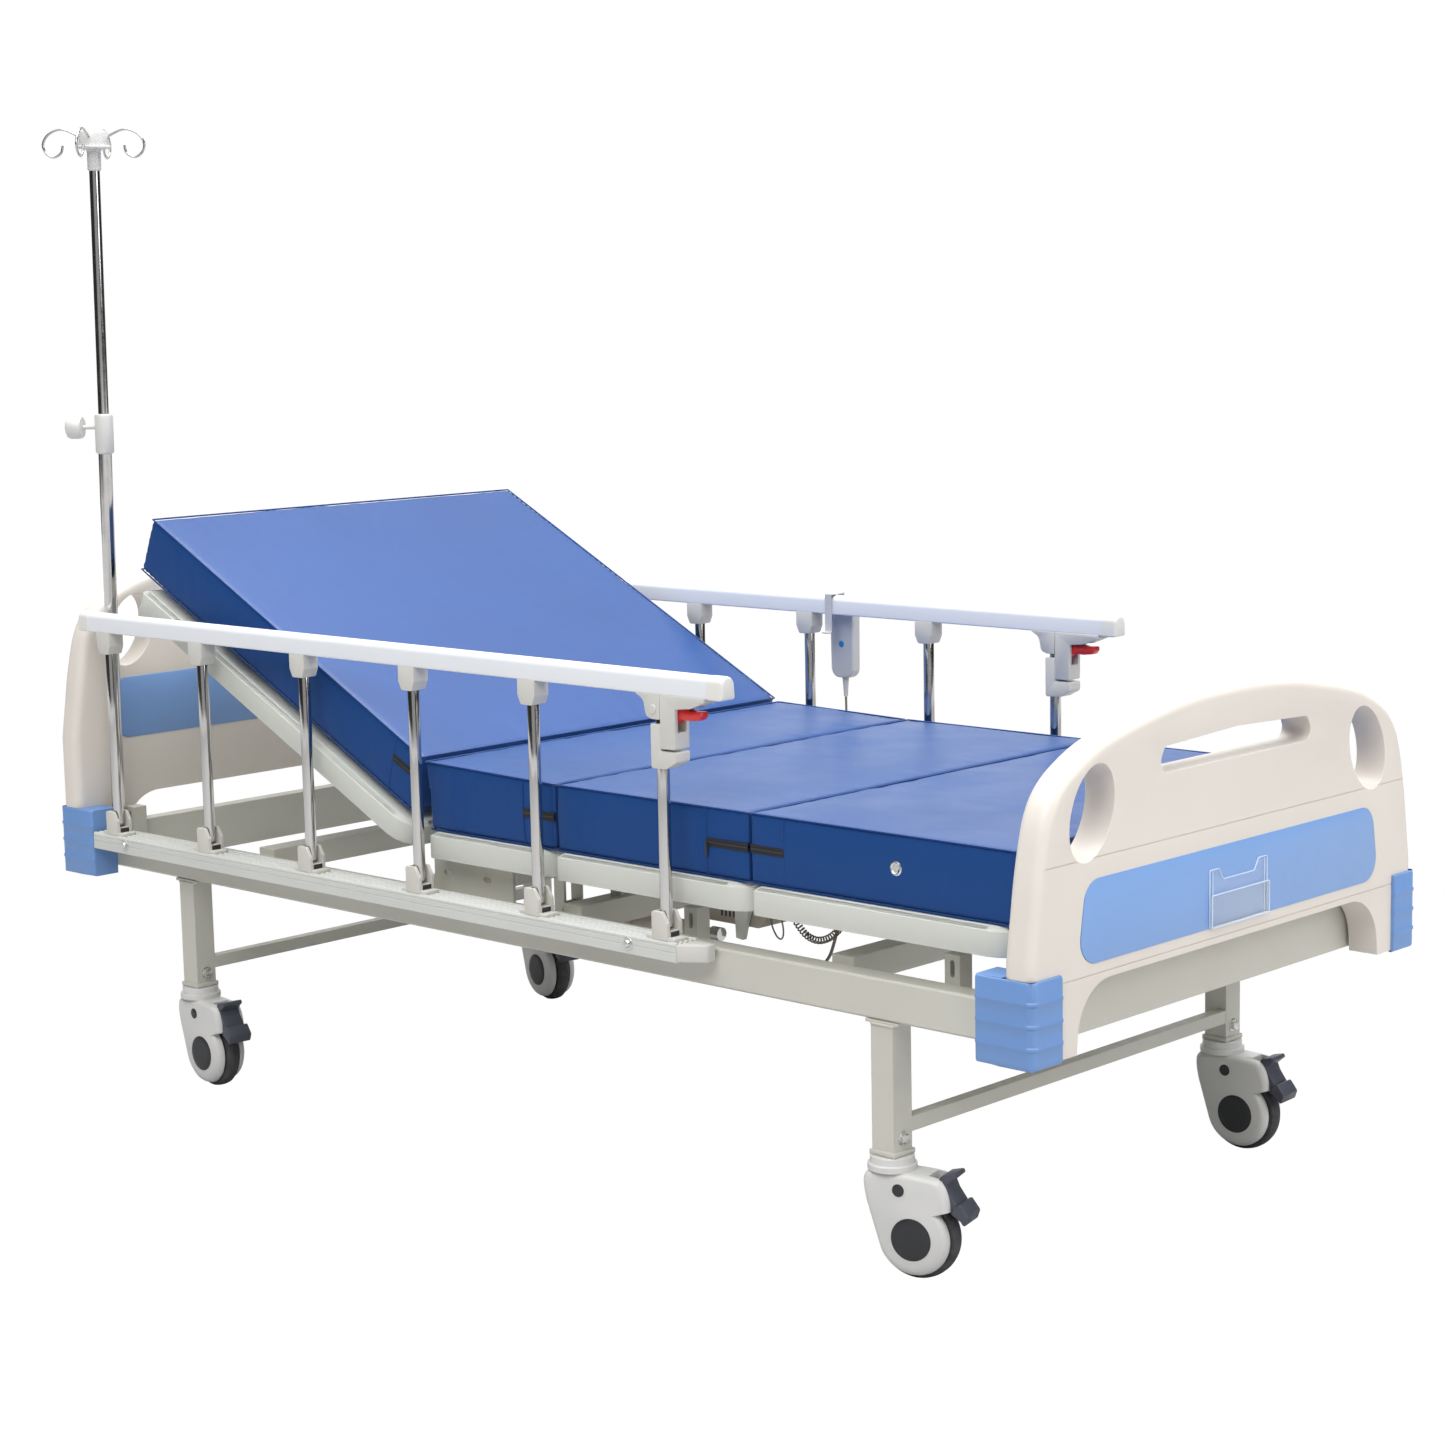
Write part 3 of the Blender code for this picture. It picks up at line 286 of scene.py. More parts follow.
def moulded(name, colour, rough=0.4, grain=900.0, depth=0.0003, strength=0.12, rounding=0.0015, drift=0.03,
            coat=0.0):
    """Moulded plastic with a fine grain, slow tone drift and rounded arrises."""
    made, tree, shader = shader_of(name, colour, rough)
    where = spots(tree)
    tone = noise_node(tree, where, 5.0, 3.0)
    low = tuple(c * (1 - drift) for c in colour)
    high = tuple(min(c * (1 + drift), 1.0) for c in colour)
    tree.links.new(ramp(tree, tone, low, high, 0.3, 0.7), shader.inputs["Base Color"])
    scuffs = noise_node(tree, where, 35.0, 5.0, 0.65)
    tree.links.new(ramp(tree, scuffs, rough - 0.05, rough + 0.07, 0.35, 0.7), shader.inputs["Roughness"])
    under = soft_edges(tree, rounding) if rounding else None
    tree.links.new(bump(tree, noise_node(tree, where, grain, 2.0), strength, depth, under),
                   shader.inputs["Normal"])
    shader.inputs["Coat Weight"].default_value = coat
    shader.inputs["Coat Roughness"].default_value = 0.15
    return made


def polished_steel(rough=0.10):
    """Polished tube with a faint drawn grain along its length and dull handling marks."""
    made, tree, shader = shader_of("polished_steel", (0.56, 0.55, 0.54), rough, 1.0)
    where = spots(tree)
    grain = noise_node(tree, where, 1400.0, 2.0, 0.6, (1.0, 1.0, 0.02))
    marks = noise_node(tree, where, 18.0, 6.0, 0.7)
    tree.links.new(ramp(tree, marks, rough * 0.8, rough * 1.7, 0.4, 0.75), shader.inputs["Roughness"])
    tree.links.new(bump(tree, grain, 0.05, 0.0002), shader.inputs["Normal"])
    return made


def zinc():
    made, tree, shader = shader_of("zinc_plate", (0.62, 0.63, 0.62), 0.32, 1.0)
    where = spots(tree)
    cells = tree.nodes.new("ShaderNodeTexVoronoi")
    cells.inputs["Scale"].default_value = 420.0
    tree.links.new(where, cells.inputs["Vector"])
    tree.links.new(ramp(tree, cells.outputs["Distance"], (0.50, 0.51, 0.49), (0.72, 0.73, 0.72), 0.1, 0.7),
                   shader.inputs["Base Color"])
    tree.links.new(ramp(tree, noise_node(tree, where, 90.0), 0.24, 0.42), shader.inputs["Roughness"])
    return made


def white_paint():
    """Glossy white enamel on the rail bars with a soft bluish cast."""
    made, tree, shader = shader_of("rail_enamel", (0.76, 0.78, 0.815), 0.27)
    where = spots(tree)
    tone = noise_node(tree, where, 6.0, 3.0)
    tree.links.new(ramp(tree, tone, (0.75, 0.77, 0.805), (0.77, 0.79, 0.825), 0.3, 0.7),
                   shader.inputs["Base Color"])
    tree.links.new(ramp(tree, noise_node(tree, where, 3.0, 1.0), 0.32, 0.34), shader.inputs["Roughness"])
    return made


def tyre_rubber():
    made, tree, shader = shader_of("tyre_rubber", (0.055, 0.055, 0.062), 0.68)
    where = spots(tree)
    dust = noise_node(tree, where, 45.0, 6.0, 0.7)
    tree.links.new(ramp(tree, dust, (0.040, 0.040, 0.046), (0.10, 0.095, 0.092), 0.45, 0.85),
                   shader.inputs["Base Color"])
    tree.links.new(bump(tree, noise_node(tree, where, 600.0, 3.0), 0.25, 0.0004), shader.inputs["Normal"])
    return made


def coated_cloth(name="mattress_cover", colour=(0.0150, 0.066, 0.240)):
    """Coated woven cover: a fine square weave under a satin film, with sheen at grazing angles, and painted
    shade on its side faces.
    """
    made, tree, shader = shader_of(name, colour, 0.50)
    where = spots(tree)
    parts = tree.nodes.new("ShaderNodeSeparateXYZ")
    tree.links.new(where, parts.inputs["Vector"])
    waves = []
    for axis in ("X", "Y", "Z"):
        scaled = tree.nodes.new("ShaderNodeMath")
        scaled.operation = "MULTIPLY"
        scaled.inputs[1].default_value = 2 * pi / THREAD_PITCH
        tree.links.new(parts.outputs[axis], scaled.inputs[0])
        wave = tree.nodes.new("ShaderNodeMath")
        wave.operation = "SINE"
        tree.links.new(scaled.outputs[0], wave.inputs[0])
        waves.append(wave.outputs[0])
    weave = waves[0]
    for other in waves[1:]:
        product = tree.nodes.new("ShaderNodeMath")
        product.operation = "ADD"
        tree.links.new(weave, product.inputs[0])
        tree.links.new(other, product.inputs[1])
        weave = product.outputs[0]
    tone = noise_node(tree, where, 3.0, 4.0)
    low = tuple(c * 0.93 for c in colour)
    high = tuple(c * 1.06 for c in colour)
    base = ramp(tree, tone, low, high, 0.3, 0.7)
    thread = noise_node(tree, where, 1600.0, 1.0)
    cloth = mix_colour(tree, ramp(tree, thread, 0.0, 0.22), base, tuple(c * 1.25 for c in colour))
    across = side_shade_share(tree)
    # Painted shade: faces looking across the bed get a base colour 8% darker and lower specular and sheen, so
    # the sides read darker than the lit tops.
    side = ramp(tree, across, 0.0, 1.0, 0.45, 0.80)
    tree.links.new(mix_colour(tree, side, cloth, tuple(c * 0.92 for c in colour)),
                   shader.inputs["Base Color"])
    tree.links.new(ramp(tree, across, 0.48, 0.10, 0.45, 0.80), shader.inputs["Specular IOR Level"])
    tree.links.new(ramp(tree, across, 0.50, 0.04, 0.45, 0.80), shader.inputs["Sheen Weight"])
    tree.links.new(ramp(tree, noise_node(tree, where, 9.0, 4.0), 0.30, 0.40), shader.inputs["Roughness"])
    rumple = bump(tree, noise_node(tree, where, 26.0, 3.0), 0.10, 0.004)
    tree.links.new(bump(tree, weave, 0.10, 0.00025, rumple), shader.inputs["Normal"])
    shader.inputs["Sheen Roughness"].default_value = 0.28
    shader.inputs["Sheen Tint"].default_value = (0.45, 0.65, 1.0, 1.0)
    return made


def side_shade_share(tree):
    """How far a face looks across the bed: the cover's side faces get painted shade, a darker base colour,
    and less specular and sheen.
    """
    shape = tree.nodes.new("ShaderNodeNewGeometry")
    parts = tree.nodes.new("ShaderNodeSeparateXYZ")
    tree.links.new(shape.outputs["Normal"], parts.inputs["Vector"])
    across = tree.nodes.new("ShaderNodeMath")
    across.operation = "ABSOLUTE"
    tree.links.new(parts.outputs["Y"], across.inputs[0])
    return across.outputs[0]


THREAD_PITCH = 0.0011


def zip_tape():
    made, tree, shader = shader_of("zip_tape", (0.018, 0.018, 0.022), 0.7)
    where = spots(tree)
    tree.links.new(ramp(tree, noise_node(tree, where, 900.0, 2.0), (0.008, 0.008, 0.010),
                        (0.020, 0.020, 0.024)),
                   shader.inputs["Base Color"])
    tree.links.new(bump(tree, noise_node(tree, where, 1500.0, 1.0, 0.5, (0.2, 1.0, 1.0)), 0.4, 0.0003),
                   shader.inputs["Normal"])
    return made


def clear_acrylic():
    made, tree, shader = shader_of("clear_acrylic", (0.93, 0.96, 0.98), 0.05)
    shader.inputs["Transmission Weight"].default_value = 0.55
    shader.inputs["IOR"].default_value = 1.20
    shader.inputs["Alpha"].default_value = 0.13
    where = spots(tree)
    tree.links.new(ramp(tree, noise_node(tree, where, 40.0, 4.0), 0.03, 0.11), shader.inputs["Roughness"])
    tree.links.new(ramp(tree, noise_node(tree, where, 6.0), (0.90, 0.94, 0.97), (0.96, 0.98, 1.0)),
                   shader.inputs["Base Color"])
    return made


def make_materials():
    return {
        "paint": powder_coat(),
        "board": moulded("board_plastic", (0.715, 0.665, 0.61), 0.42, 700.0, 0.0003, 0.06, 0.0, 0.02, 0.05),
        "panel": moulded("panel_blue", (0.205, 0.365, 0.70), 0.34, 800.0, 0.0002, 0.06, 0.0012, 0.025, 0.1),
        "bumper": moulded("bumper_blue", (0.150, 0.285, 0.58), 0.42, 900.0, 0.0003, 0.10, 0.0, 0.04),
        "deck": moulded("deck_plastic", (0.59, 0.605, 0.555), 0.45, 1100.0, 0.0004, 0.22, 0.0012, 0.02),
        "bracket": moulded("bracket_plastic", (0.60, 0.59, 0.555), 0.40, 1000.0, 0.0003, 0.12, 0.0008, 0.02),
        "cap": moulded("end_cap_plastic", (0.74, 0.73, 0.69), 0.42, 900.0, 0.0003, 0.1, 0.001, 0.02),
        "white": moulded("caster_white", (0.62, 0.615, 0.60), 0.36, 900.0, 0.0003, 0.08, 0.001, 0.025, 0.1),
        "black": moulded("black_plastic", (0.022, 0.023, 0.026), 0.45, 900.0, 0.0003, 0.15, 0.0006, 0.1),
        "pedal": moulded("pedal_plastic", (0.060, 0.065, 0.088), 0.45, 700.0, 0.0004, 0.2, 0.0012, 0.08),
        "red": moulded("trigger_red", (0.62, 0.020, 0.020), 0.30, 900.0, 0.0002, 0.05, 0.0006, 0.05, 0.3),
        "drive": moulded("drive_beige", (0.40, 0.355, 0.30), 0.48, 900.0, 0.0004, 0.2, 0.0012, 0.04),
        "grey": moulded("handset_grey", (0.60, 0.60, 0.60), 0.38, 900.0, 0.0003, 0.08, 0.0008, 0.02),
        "dot": moulded("handset_blue", (0.03, 0.24, 0.62), 0.32, 900.0, 0.0002, 0.05, 0.0, 0.03),
        "cord": moulded("cord_jacket", (0.20, 0.175, 0.15), 0.55, 1200.0, 0.0003, 0.15, 0.0, 0.06),
        "steel": polished_steel(),
        "zinc": zinc(),
        "enamel": white_paint(),
        "channel": powder_coat("channel_enamel", (0.60, 0.61, 0.585), 0.0008),
        "clamp": moulded("clamp_plastic", (0.60, 0.585, 0.535), 0.42, 900.0, 0.0003, 0.1, 0.0008, 0.02),
        "tyre": tyre_rubber(),
        "cover": coated_cloth(),
        "welt": coated_cloth("mattress_welt", (0.013, 0.052, 0.20)),
        "zip": zip_tape(),
        "acrylic": clear_acrylic(),
        "acrylic_edge": moulded("acrylic_edge", (0.62, 0.74, 0.90), 0.2, 900.0, 0.0001, 0.02, 0.0, 0.02),
    }


# ---------------------------------------------------------------- shape building


def finish_mesh(work, name="piece"):
    bmesh.ops.remove_doubles(work, verts=work.verts, dist=1e-6)
    bmesh.ops.recalc_face_normals(work, faces=work.faces)
    data = bpy.data.meshes.new(name)
    work.to_mesh(data)
    work.free()
    return data


def loft(rings, closed=True):
    """A body through rings of points, with flat ends if closed."""
    work = bmesh.new()
    loops = [[work.verts.new(point) for point in ring] for ring in rings]
    count = len(loops[0])
    for low, high in zip(loops, loops[1:]):
        for i in range(count):
            j = (i + 1) % count
            work.faces.new((low[i], low[j], high[j], high[i]))
    if closed:
        work.faces.new(list(reversed(loops[0])))
        work.faces.new(loops[-1])
    return finish_mesh(work)


def block(low, high, round_by=0.0, steps=2):
    work = bmesh.new()
    size = Vector(high) - Vector(low)
    middle = (Vector(high) + Vector(low)) / 2
    bmesh.ops.create_cube(work, size=1.0, matrix=Matrix.Translation(middle) @ Matrix.Diagonal((*size, 1.0)))
    if round_by:
        bmesh.ops.bevel(work, geom=work.edges[:], offset=round_by, segments=steps, affect="EDGES",
                        profile=0.5)
    return finish_mesh(work)


def prism(outline, axis, start, end, round_by=0.0, steps=2):
    """A flat outline pushed along X, Y or Z, with its two rims rounded if round_by is given."""
    spot = {
        "X": lambda a, b, c: (c, a, b),
        "Y": lambda a, b, c: (a, c, b),
        "Z": lambda a, b, c: (a, b, c),
    }[axis]
    data = loft([[spot(a, b, c) for a, b in outline] for c in (start, end)])
    if not round_by:
        return data
    work = bmesh.new()
    work.from_mesh(data)
    rims = [e for e in work.edges if e.calc_face_angle(0.0) > radians(50)]
    bmesh.ops.bevel(work, geom=rims, offset=round_by, segments=steps, affect="EDGES", profile=0.5,
                    clamp_overlap=True)
    return finish_mesh(work)


def rounded(outline, radii, steps=6):
    points = []
    count = len(outline)
    for i, corner in enumerate(outline):
        radius = radii[i] if isinstance(radii, (list, tuple)) else radii
        here = Vector(corner)
        if radius <= 0:
            points.append(tuple(here))
            continue
        to_last = (Vector(outline[i - 1]) - here).normalized()
        to_next = (Vector(outline[(i + 1) % count]) - here).normalized()
        half = to_last.angle(to_next) / 2
        centre = here + (to_last + to_next).normalized() * radius / sin(half)
        first = here + to_last * radius / tan(half) - centre
        last = here + to_next * radius / tan(half) - centre
        turn = first.angle_signed(last)
        for k in range(steps + 1):
            spoke = first.copy()
            spoke.rotate(Matrix.Rotation(-turn * k / steps, 2))
            points.append(tuple(centre + spoke))
    return points


def rectangle(a0, b0, a1, b1, radii=0.0, steps=6):
    return rounded([(a0, b0), (a1, b0), (a1, b1), (a0, b1)], radii, steps)


def circle(a, b, radius, sides=32):
    spin = [2 * pi * (i + 0.5) / sides for i in range(sides)]
    return [(a + radius * cos(t), b + radius * sin(t)) for t in spin]


def turned(profile, centre, axis, sides=40):
    """A solid of revolution from (radius, distance along the axis) pairs."""
    centre, axis = Vector(centre), Vector(axis).normalized()
    side = axis.orthogonal().normalized()
    other = axis.cross(side)
    spin = [2 * pi * (i + 0.5) / sides for i in range(sides)]
    return loft([[centre + axis * h + r * (cos(t) * side + sin(t) * other) for t in spin] for r,
                 h in profile])


def curve_through(points, steps):
    spots = [Vector(p) for p in points]
    spots = [2 * spots[0] - spots[1], *spots, 2 * spots[-1] - spots[-2]]
    out = []
    for a, b, c, d in zip(spots, spots[1:], spots[2:], spots[3:]):
        for k in range(steps):
            t = k / steps
            square, cube = 2 * a - 5 * b + 4 * c - d, 3 * b - a - 3 * c + d
            out.append(0.5 * (2 * b + (c - a) * t + square * t * t + cube * t ** 3))
    out.append(spots[-2])
    return out


def tube(path, radius, sides=10, loop=False):
    """Round wire along a path of points, by carrying one frame along it."""
    spots = [Vector(p) for p in path]
    count = len(spots)
    rings = []
    side = None
    for i, spot in enumerate(spots):
        before = spots[i - 1] if loop or i else spots[0]
        after = spots[(i + 1) % count] if loop or i < count - 1 else spots[-1]
        along = (after - before).normalized()
        side = along.orthogonal() if side is None else side - along * side.dot(along)
        side.normalize()
        other = along.cross(side)
        rings.append([spot + radius * (cos(2 * pi * k / sides) * side + sin(2 * pi * k / sides) * other)
                      for k in range(sides)])
    if loop:
        rings.append(rings[0])
    return loft(rings, closed=not loop)


def show(name, pieces, material, body, slot, replaces=(), turn=None, sharp=35.0, blend=None):
    """One shown object from several meshes, riding a body, or baked in place and left unparented when blend
    is given.
    """
    work = bmesh.new()
    for piece in pieces if isinstance(pieces, (list, tuple)) else [pieces]:
        work.from_mesh(piece)
    data = bpy.data.meshes.new(name)
    work.to_mesh(data)
    work.free()
    if turn is not None:
        data.transform(turn)
    data.materials.append(material)
    data.shade_smooth()
    data.set_sharp_from_angle(angle=radians(sharp))
    obj = bpy.data.objects.new(name, data)
    bpy.context.scene.collection.objects.link(obj)
    if replaces:
        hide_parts(*replaces)
    if blend:
        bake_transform(obj)
    else:
        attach(obj, body)
    return obj


def changed(data, kind, **settings):
    """The mesh after one modifier with these settings."""
    obj = bpy.data.objects.new("work", data)
    bpy.context.scene.collection.objects.link(obj)
    change = obj.modifiers.new("change", kind)
    for key, value in settings.items():
        setattr(change, key, value)
    bpy.context.view_layer.update()
    made = bpy.data.meshes.new_from_object(obj.evaluated_get(bpy.context.evaluated_depsgraph_get()))
    bpy.data.objects.remove(obj, do_unlink=True)
    return made


def cut(data, cutters):
    """The mesh with the cutters taken away."""
    group = bpy.data.collections.new("cutters")
    for i, piece in enumerate(cutters):
        group.objects.link(bpy.data.objects.new(f"cutter_{i}", piece))
    bpy.context.scene.collection.children.link(group)
    made = changed(data, "BOOLEAN", operation="DIFFERENCE", operand_type="COLLECTION", collection=group,
                   solver="EXACT")
    for tool in list(group.objects):
        bpy.data.objects.remove(tool, do_unlink=True)
    bpy.data.collections.remove(group)
    return made


def soften(data, width, steps=3, over=40.0):
    """The mesh with its sharp edges rounded by a bevel."""
    return changed(data, "BEVEL", width=width, segments=steps, limit_method="ANGLE",
                   angle_limit=radians(over),
                   harden_normals=False)


def paint_node(name, material):
    """Gives a shown CAD piece its finish and smooth shading."""
    obj = frame["nodes"][name]
    if not obj.data.materials:
        obj.data.materials.append(material)
    for i in range(len(obj.data.materials)):
        obj.data.materials[i] = material
    obj.data.shade_smooth()
    obj.data.set_sharp_from_angle(angle=radians(30))


# ---------------------------------------------------------------- leads


HANDSET_ROUTE = [
    (-0.0600, 0.4980, 0.6545), (-0.0600, 0.4985, 0.6200), (-0.0600, 0.4990, 0.5600),
                 (-0.0595, 0.4995, 0.5000),
    (-0.0580, 0.5000, 0.4400), (-0.0550, 0.4980, 0.3980), (-0.0480, 0.4880, 0.3700),
                 (-0.0360, 0.4680, 0.3560),
    (-0.0150, 0.4350, 0.3520), (0.0300, 0.3700, 0.3560), (0.0950, 0.2800, 0.3620), (0.1750, 0.2000, 0.3640),
    (0.2600, 0.1350, 0.3680), (0.3350, 0.0850, 0.3780), (0.3800, 0.0450, 0.3880), (0.3880, 0.0150, 0.3920),
    (0.3800, 0.0020, 0.3910), (0.3700, 0.0000, 0.3840), (0.3630, 0.0000, 0.3770),
]
COIL_ROUTE = [
    (0.3625, 0.0, 0.3765), (0.3490, 0.0, 0.3610), (0.3300, 0.0, 0.3470), (0.3060, 0.0, 0.3400),
    (0.2830, 0.0, 0.3450), (0.2640, 0.0, 0.3600), (0.2500, 0.0, 0.3760), (0.2365, 0.0, 0.3860),
]
SUPPLY_ROUTE = [
    (0.2314, 0.0300, 0.3900), (0.2450, 0.0300, 0.3905), (0.2700, 0.0270, 0.3930), (0.3000, 0.0200, 0.3960),
    (0.3250, 0.0150, 0.3930), (0.3380, 0.0130, 0.3800), (0.3370, 0.0130, 0.3600), (0.3310, 0.0110, 0.3350),
    (0.3250, 0.0040, 0.3120), (0.3190, -0.0180, 0.2950), (0.3150, -0.0600, 0.2920),
                (0.3120, -0.1300, 0.3100),
    (0.3100, -0.2200, 0.3450), (0.3100, -0.3000, 0.3780), (0.3100, -0.3500, 0.3960),
                (0.3100, -0.3800, 0.4020),
    (0.3100, -0.3938, 0.4020),
]
CORD_R, SUPPLY_R, COIL_WIRE_R, COIL_TURN_R, COIL_TURNS = 0.0021, 0.0027, 0.0013, 0.0052, 26


def lead(name, route, radius, node, material):
    path = curve_through(route, 6)
    obj = show(name, tube(path, radius, 12), material, "frame", "cord_jacket", [node])


def coiled_path():
    """Wire wound round the line of the curled stretch, with a straight start and end."""
    line = curve_through(COIL_ROUTE, 24)
    run = [0.0]
    for a, b in zip(line, line[1:]):
        run.append(run[-1] + (b - a).length)
    steps = COIL_TURNS * 14
    path = []
    for i in range(steps + 1):
        share = i / steps
        place = share * run[-1]
        k = min(max(int(np.searchsorted(run, place)) - 1, 0), len(line) - 2)
        local = (place - run[k]) / (run[k + 1] - run[k])
        spot = line[k].lerp(line[k + 1], local)
        along = (line[k + 1] - line[k]).normalized()
        side = Vector((0.0, 1.0, 0.0))
        other = along.cross(side)
        grow = min(share / 0.04, (1 - share) / 0.04, 1.0)
        turn = 2 * pi * COIL_TURNS * share
        path.append(spot + COIL_TURN_R * grow * (cos(turn) * side + sin(turn) * other))
    return path


def make_leads(mats):
    lead("handset_lead_visual", HANDSET_ROUTE, CORD_R, "handset_lead", mats["cord"])
    lead("supply_lead_visual", SUPPLY_ROUTE, SUPPLY_R, "supply_lead", mats["cord"])
    path = coiled_path()
    coil = show("handset_coil_visual", tube(path, COIL_WIRE_R, 8), mats["cord"], "frame", "cord_jacket",
                ["handset_coil"])


# ---------------------------------------------------------------- boards and bumpers


BOARD_IN, BOARD_OUT, BOARD_LOW = 1.0628, 1.1125, 0.3620
HALF_OUTLINE = [(0.4835, 0.50), (0.476, 0.55), (0.465, 0.62), (0.447, 0.69), (0.420, 0.731), (0.376, 0.760),
                (0.310, 0.7855), (0.197, 0.8085), (0.100, 0.8205), (0.0, 0.824)]


def board_outline(rise, inset, fine=6, low=BOARD_LOW):
    """Board outline as (y, z), near foot up and over to the far foot, moved in by inset."""
    edge = [Vector((y, z + rise)) for y, z in HALF_OUTLINE]
    edge = [Vector((0.4838, low)), Vector((0.4838, 0.43))] + curve_through(edge, fine)
    moved = []
    for i, spot in enumerate(edge):
        before, after = edge[max(i - 1, 0)], edge[min(i + 1, len(edge) - 1)]
        along = (after - before).normalized()
        moved.append(spot + inset * Vector((-along.y, along.x)))
    moved[0] = Vector((edge[0].x - inset, low))
    moved[-1].x = 0.0
    right = [(p.x, p.y) for p in moved]
    return [(-y, z) for y, z in right] + [(y, z) for y, z in reversed(right[:-1])]


def board_body(rise, end):
    depth = BOARD_OUT - BOARD_IN
    reach = 0.016
    rings = []
    for k in range(6):
        turn = pi / 2 * k / 5
        rings.append((reach * (1 - sin(turn)), reach * (1 - cos(turn))))
    rings += [(inset, depth - along) for inset, along in reversed(rings)]
    return loft([[(end * (BOARD_IN + along), y, z) for y, z in board_outline(rise, inset)] for inset,
                 along in rings])


def tilted_oval(side, rise):
    lean = radians(25)
    points = []
    for i in range(48):
        t = 2 * pi * i / 48
        a, b = 0.046 * cos(t), 0.069 * sin(t)
        points.append((side * (0.348 + a * cos(lean) - b * sin(lean)),
                       0.688 + rise + a * sin(lean) + b * cos(lean)))
    return points


def hand_slot(rise):
    corners = [(-0.200, 0.720 + rise), (0.200, 0.720 + rise), (0.180, 0.757 + rise), (0.0, 0.764 + rise),
               (-0.180, 0.757 + rise)]
    return rounded(corners, [0.016, 0.016, 0.011, 0.15, 0.011], 8)


def board_arch(arch_rise):
    top = 0.457 + arch_rise
    return rounded([(-0.389, 0.30), (0.389, 0.30), (0.375, top), (-0.375, top)], [0, 0, 0.075, 0.075], 14)


def groove(end, face, z, half, deep=0.0012, wide=0.0016):
    x0, x1 = sorted((end * (face - deep), end * (face + 0.004)))
    return block((x0, -half, z - wide / 2), (x1, half, z + wide / 2))


def panel_outline(low, high, half_low, half_high, radius):
    return rounded([(-half_low, low), (half_low, low), (half_high, high), (-half_high, high)], radius, 10)


def make_board(mats, name, end, rise, arch_rise, panel_face, panel, seams):
    x0, x1 = sorted((end * (BOARD_IN - 0.02), end * (BOARD_OUT + 0.02)))
    openings = [board_arch(arch_rise), hand_slot(rise), tilted_oval(-1, rise), tilted_oval(1, rise)]
    body = soften(cut(board_body(rise, end), [prism(shape, "X", x0, x1) for shape in openings]), 0.0085, 5,
                  50.0)
    outward = 1 if panel_face == BOARD_OUT else -1
    bed0, bed1 = sorted((end * (panel_face - outward * 0.0012), end * (panel_face + outward * 0.006)))
    recess = [prism([(y * 1.004, z) for y, z in panel], "X", bed0, bed1)]
    recess += [groove(end, panel_face, z, half, 0.0012 * outward) for z, half in seams]
    body = cut(body, recess)
    show(f"{name}_visual", body, mats["board"], name, "board_plastic", [name], sharp=30.0)
    low, high = sorted((end * (panel_face - outward * 0.0030), end * (panel_face + outward * 0.0008)))
    show(f"{name}_panel", prism(panel, "X", low, high, 0.0007, 2), mats["panel"], name, "bumper_plastic",
         sharp=50.0)


def make_boards(mats):
    make_board(mats, "footboard", 1, 0.0, 0.0, BOARD_OUT, panel_outline(0.4815, 0.598, 0.381, 0.362, 0.035),
               [(0.627, 0.452), (0.467, 0.470)])
    make_board(mats, "headboard", -1, 0.108, 0.0345, BOARD_IN,
               panel_outline(0.597, 0.709, 0.385, 0.385, 0.020),
               [(0.573, 0.460)])


def make_card_holder(mats):
    """Clear pocket: back plate with two raised horns, a lower front plate, and bright polished edges."""
    tall = [(-0.073, 0.483), (0.073, 0.483), (0.073, 0.566), (0.050, 0.566), (0.040, 0.549), (-0.040, 0.549),
            (-0.050, 0.566), (-0.073, 0.566)]
    back = rounded(tall, [0.003, 0.003, 0.003, 0.004, 0.006, 0.006, 0.004, 0.003], 4)
    front = rectangle(-0.073, 0.483, 0.073, 0.530, 0.003, 4)
    pieces = [prism(back, "X", 1.1137, 1.1149), prism(front, "X", 1.1181, 1.1193),
              block((1.1140, -0.0725, 0.4832), (1.1190, 0.0725, 0.4850), 0.0004, 1)]
    pieces += [block((1.1140, y - 0.0008, 0.4840), (1.1190, y + 0.0008, 0.530), 0.0003,
                     1) for y in (-0.0720, 0.0720)]
    show("card_holder_visual", pieces, mats["acrylic"], "footboard", "clear_acrylic", ["card_holder"])
    edges = [tube([(1.1143, a, b) for a, b in back], 0.0009, 6, loop=True)]
    edges.append(tube([(1.1187, a, b) for a, b in front], 0.0009, 6, loop=True))
    edges += [tube([(1.1145, y, 0.4850), (1.1145, y, 0.5640)], 0.0007, 6) for y in (-0.0660, 0.0660)]
    show("card_holder_edges", edges, mats["acrylic_edge"], "footboard", "clear_acrylic")


def corner_signs(place):
    return (1 if "foot" in place else -1), (1 if "far" in place else -1)


def bumper_outline(end, side, grow=0.0):
    outer_x, outer_y = 1.1185 - grow, 0.4877 - grow
    corners = [(1.018, 0.4346), (1.0622, 0.4346), (1.0622, 0.4842), (1.1129, 0.4842), (1.1129, 0.4223),
               (outer_x, 0.4223), (outer_x, outer_y), (1.018, outer_y)]
    points = rounded(corners, [0, 0, 0, 0, 0, 0, 0.014, 0.006], 10)
    return [(end * a, side * b) for a, b in points]


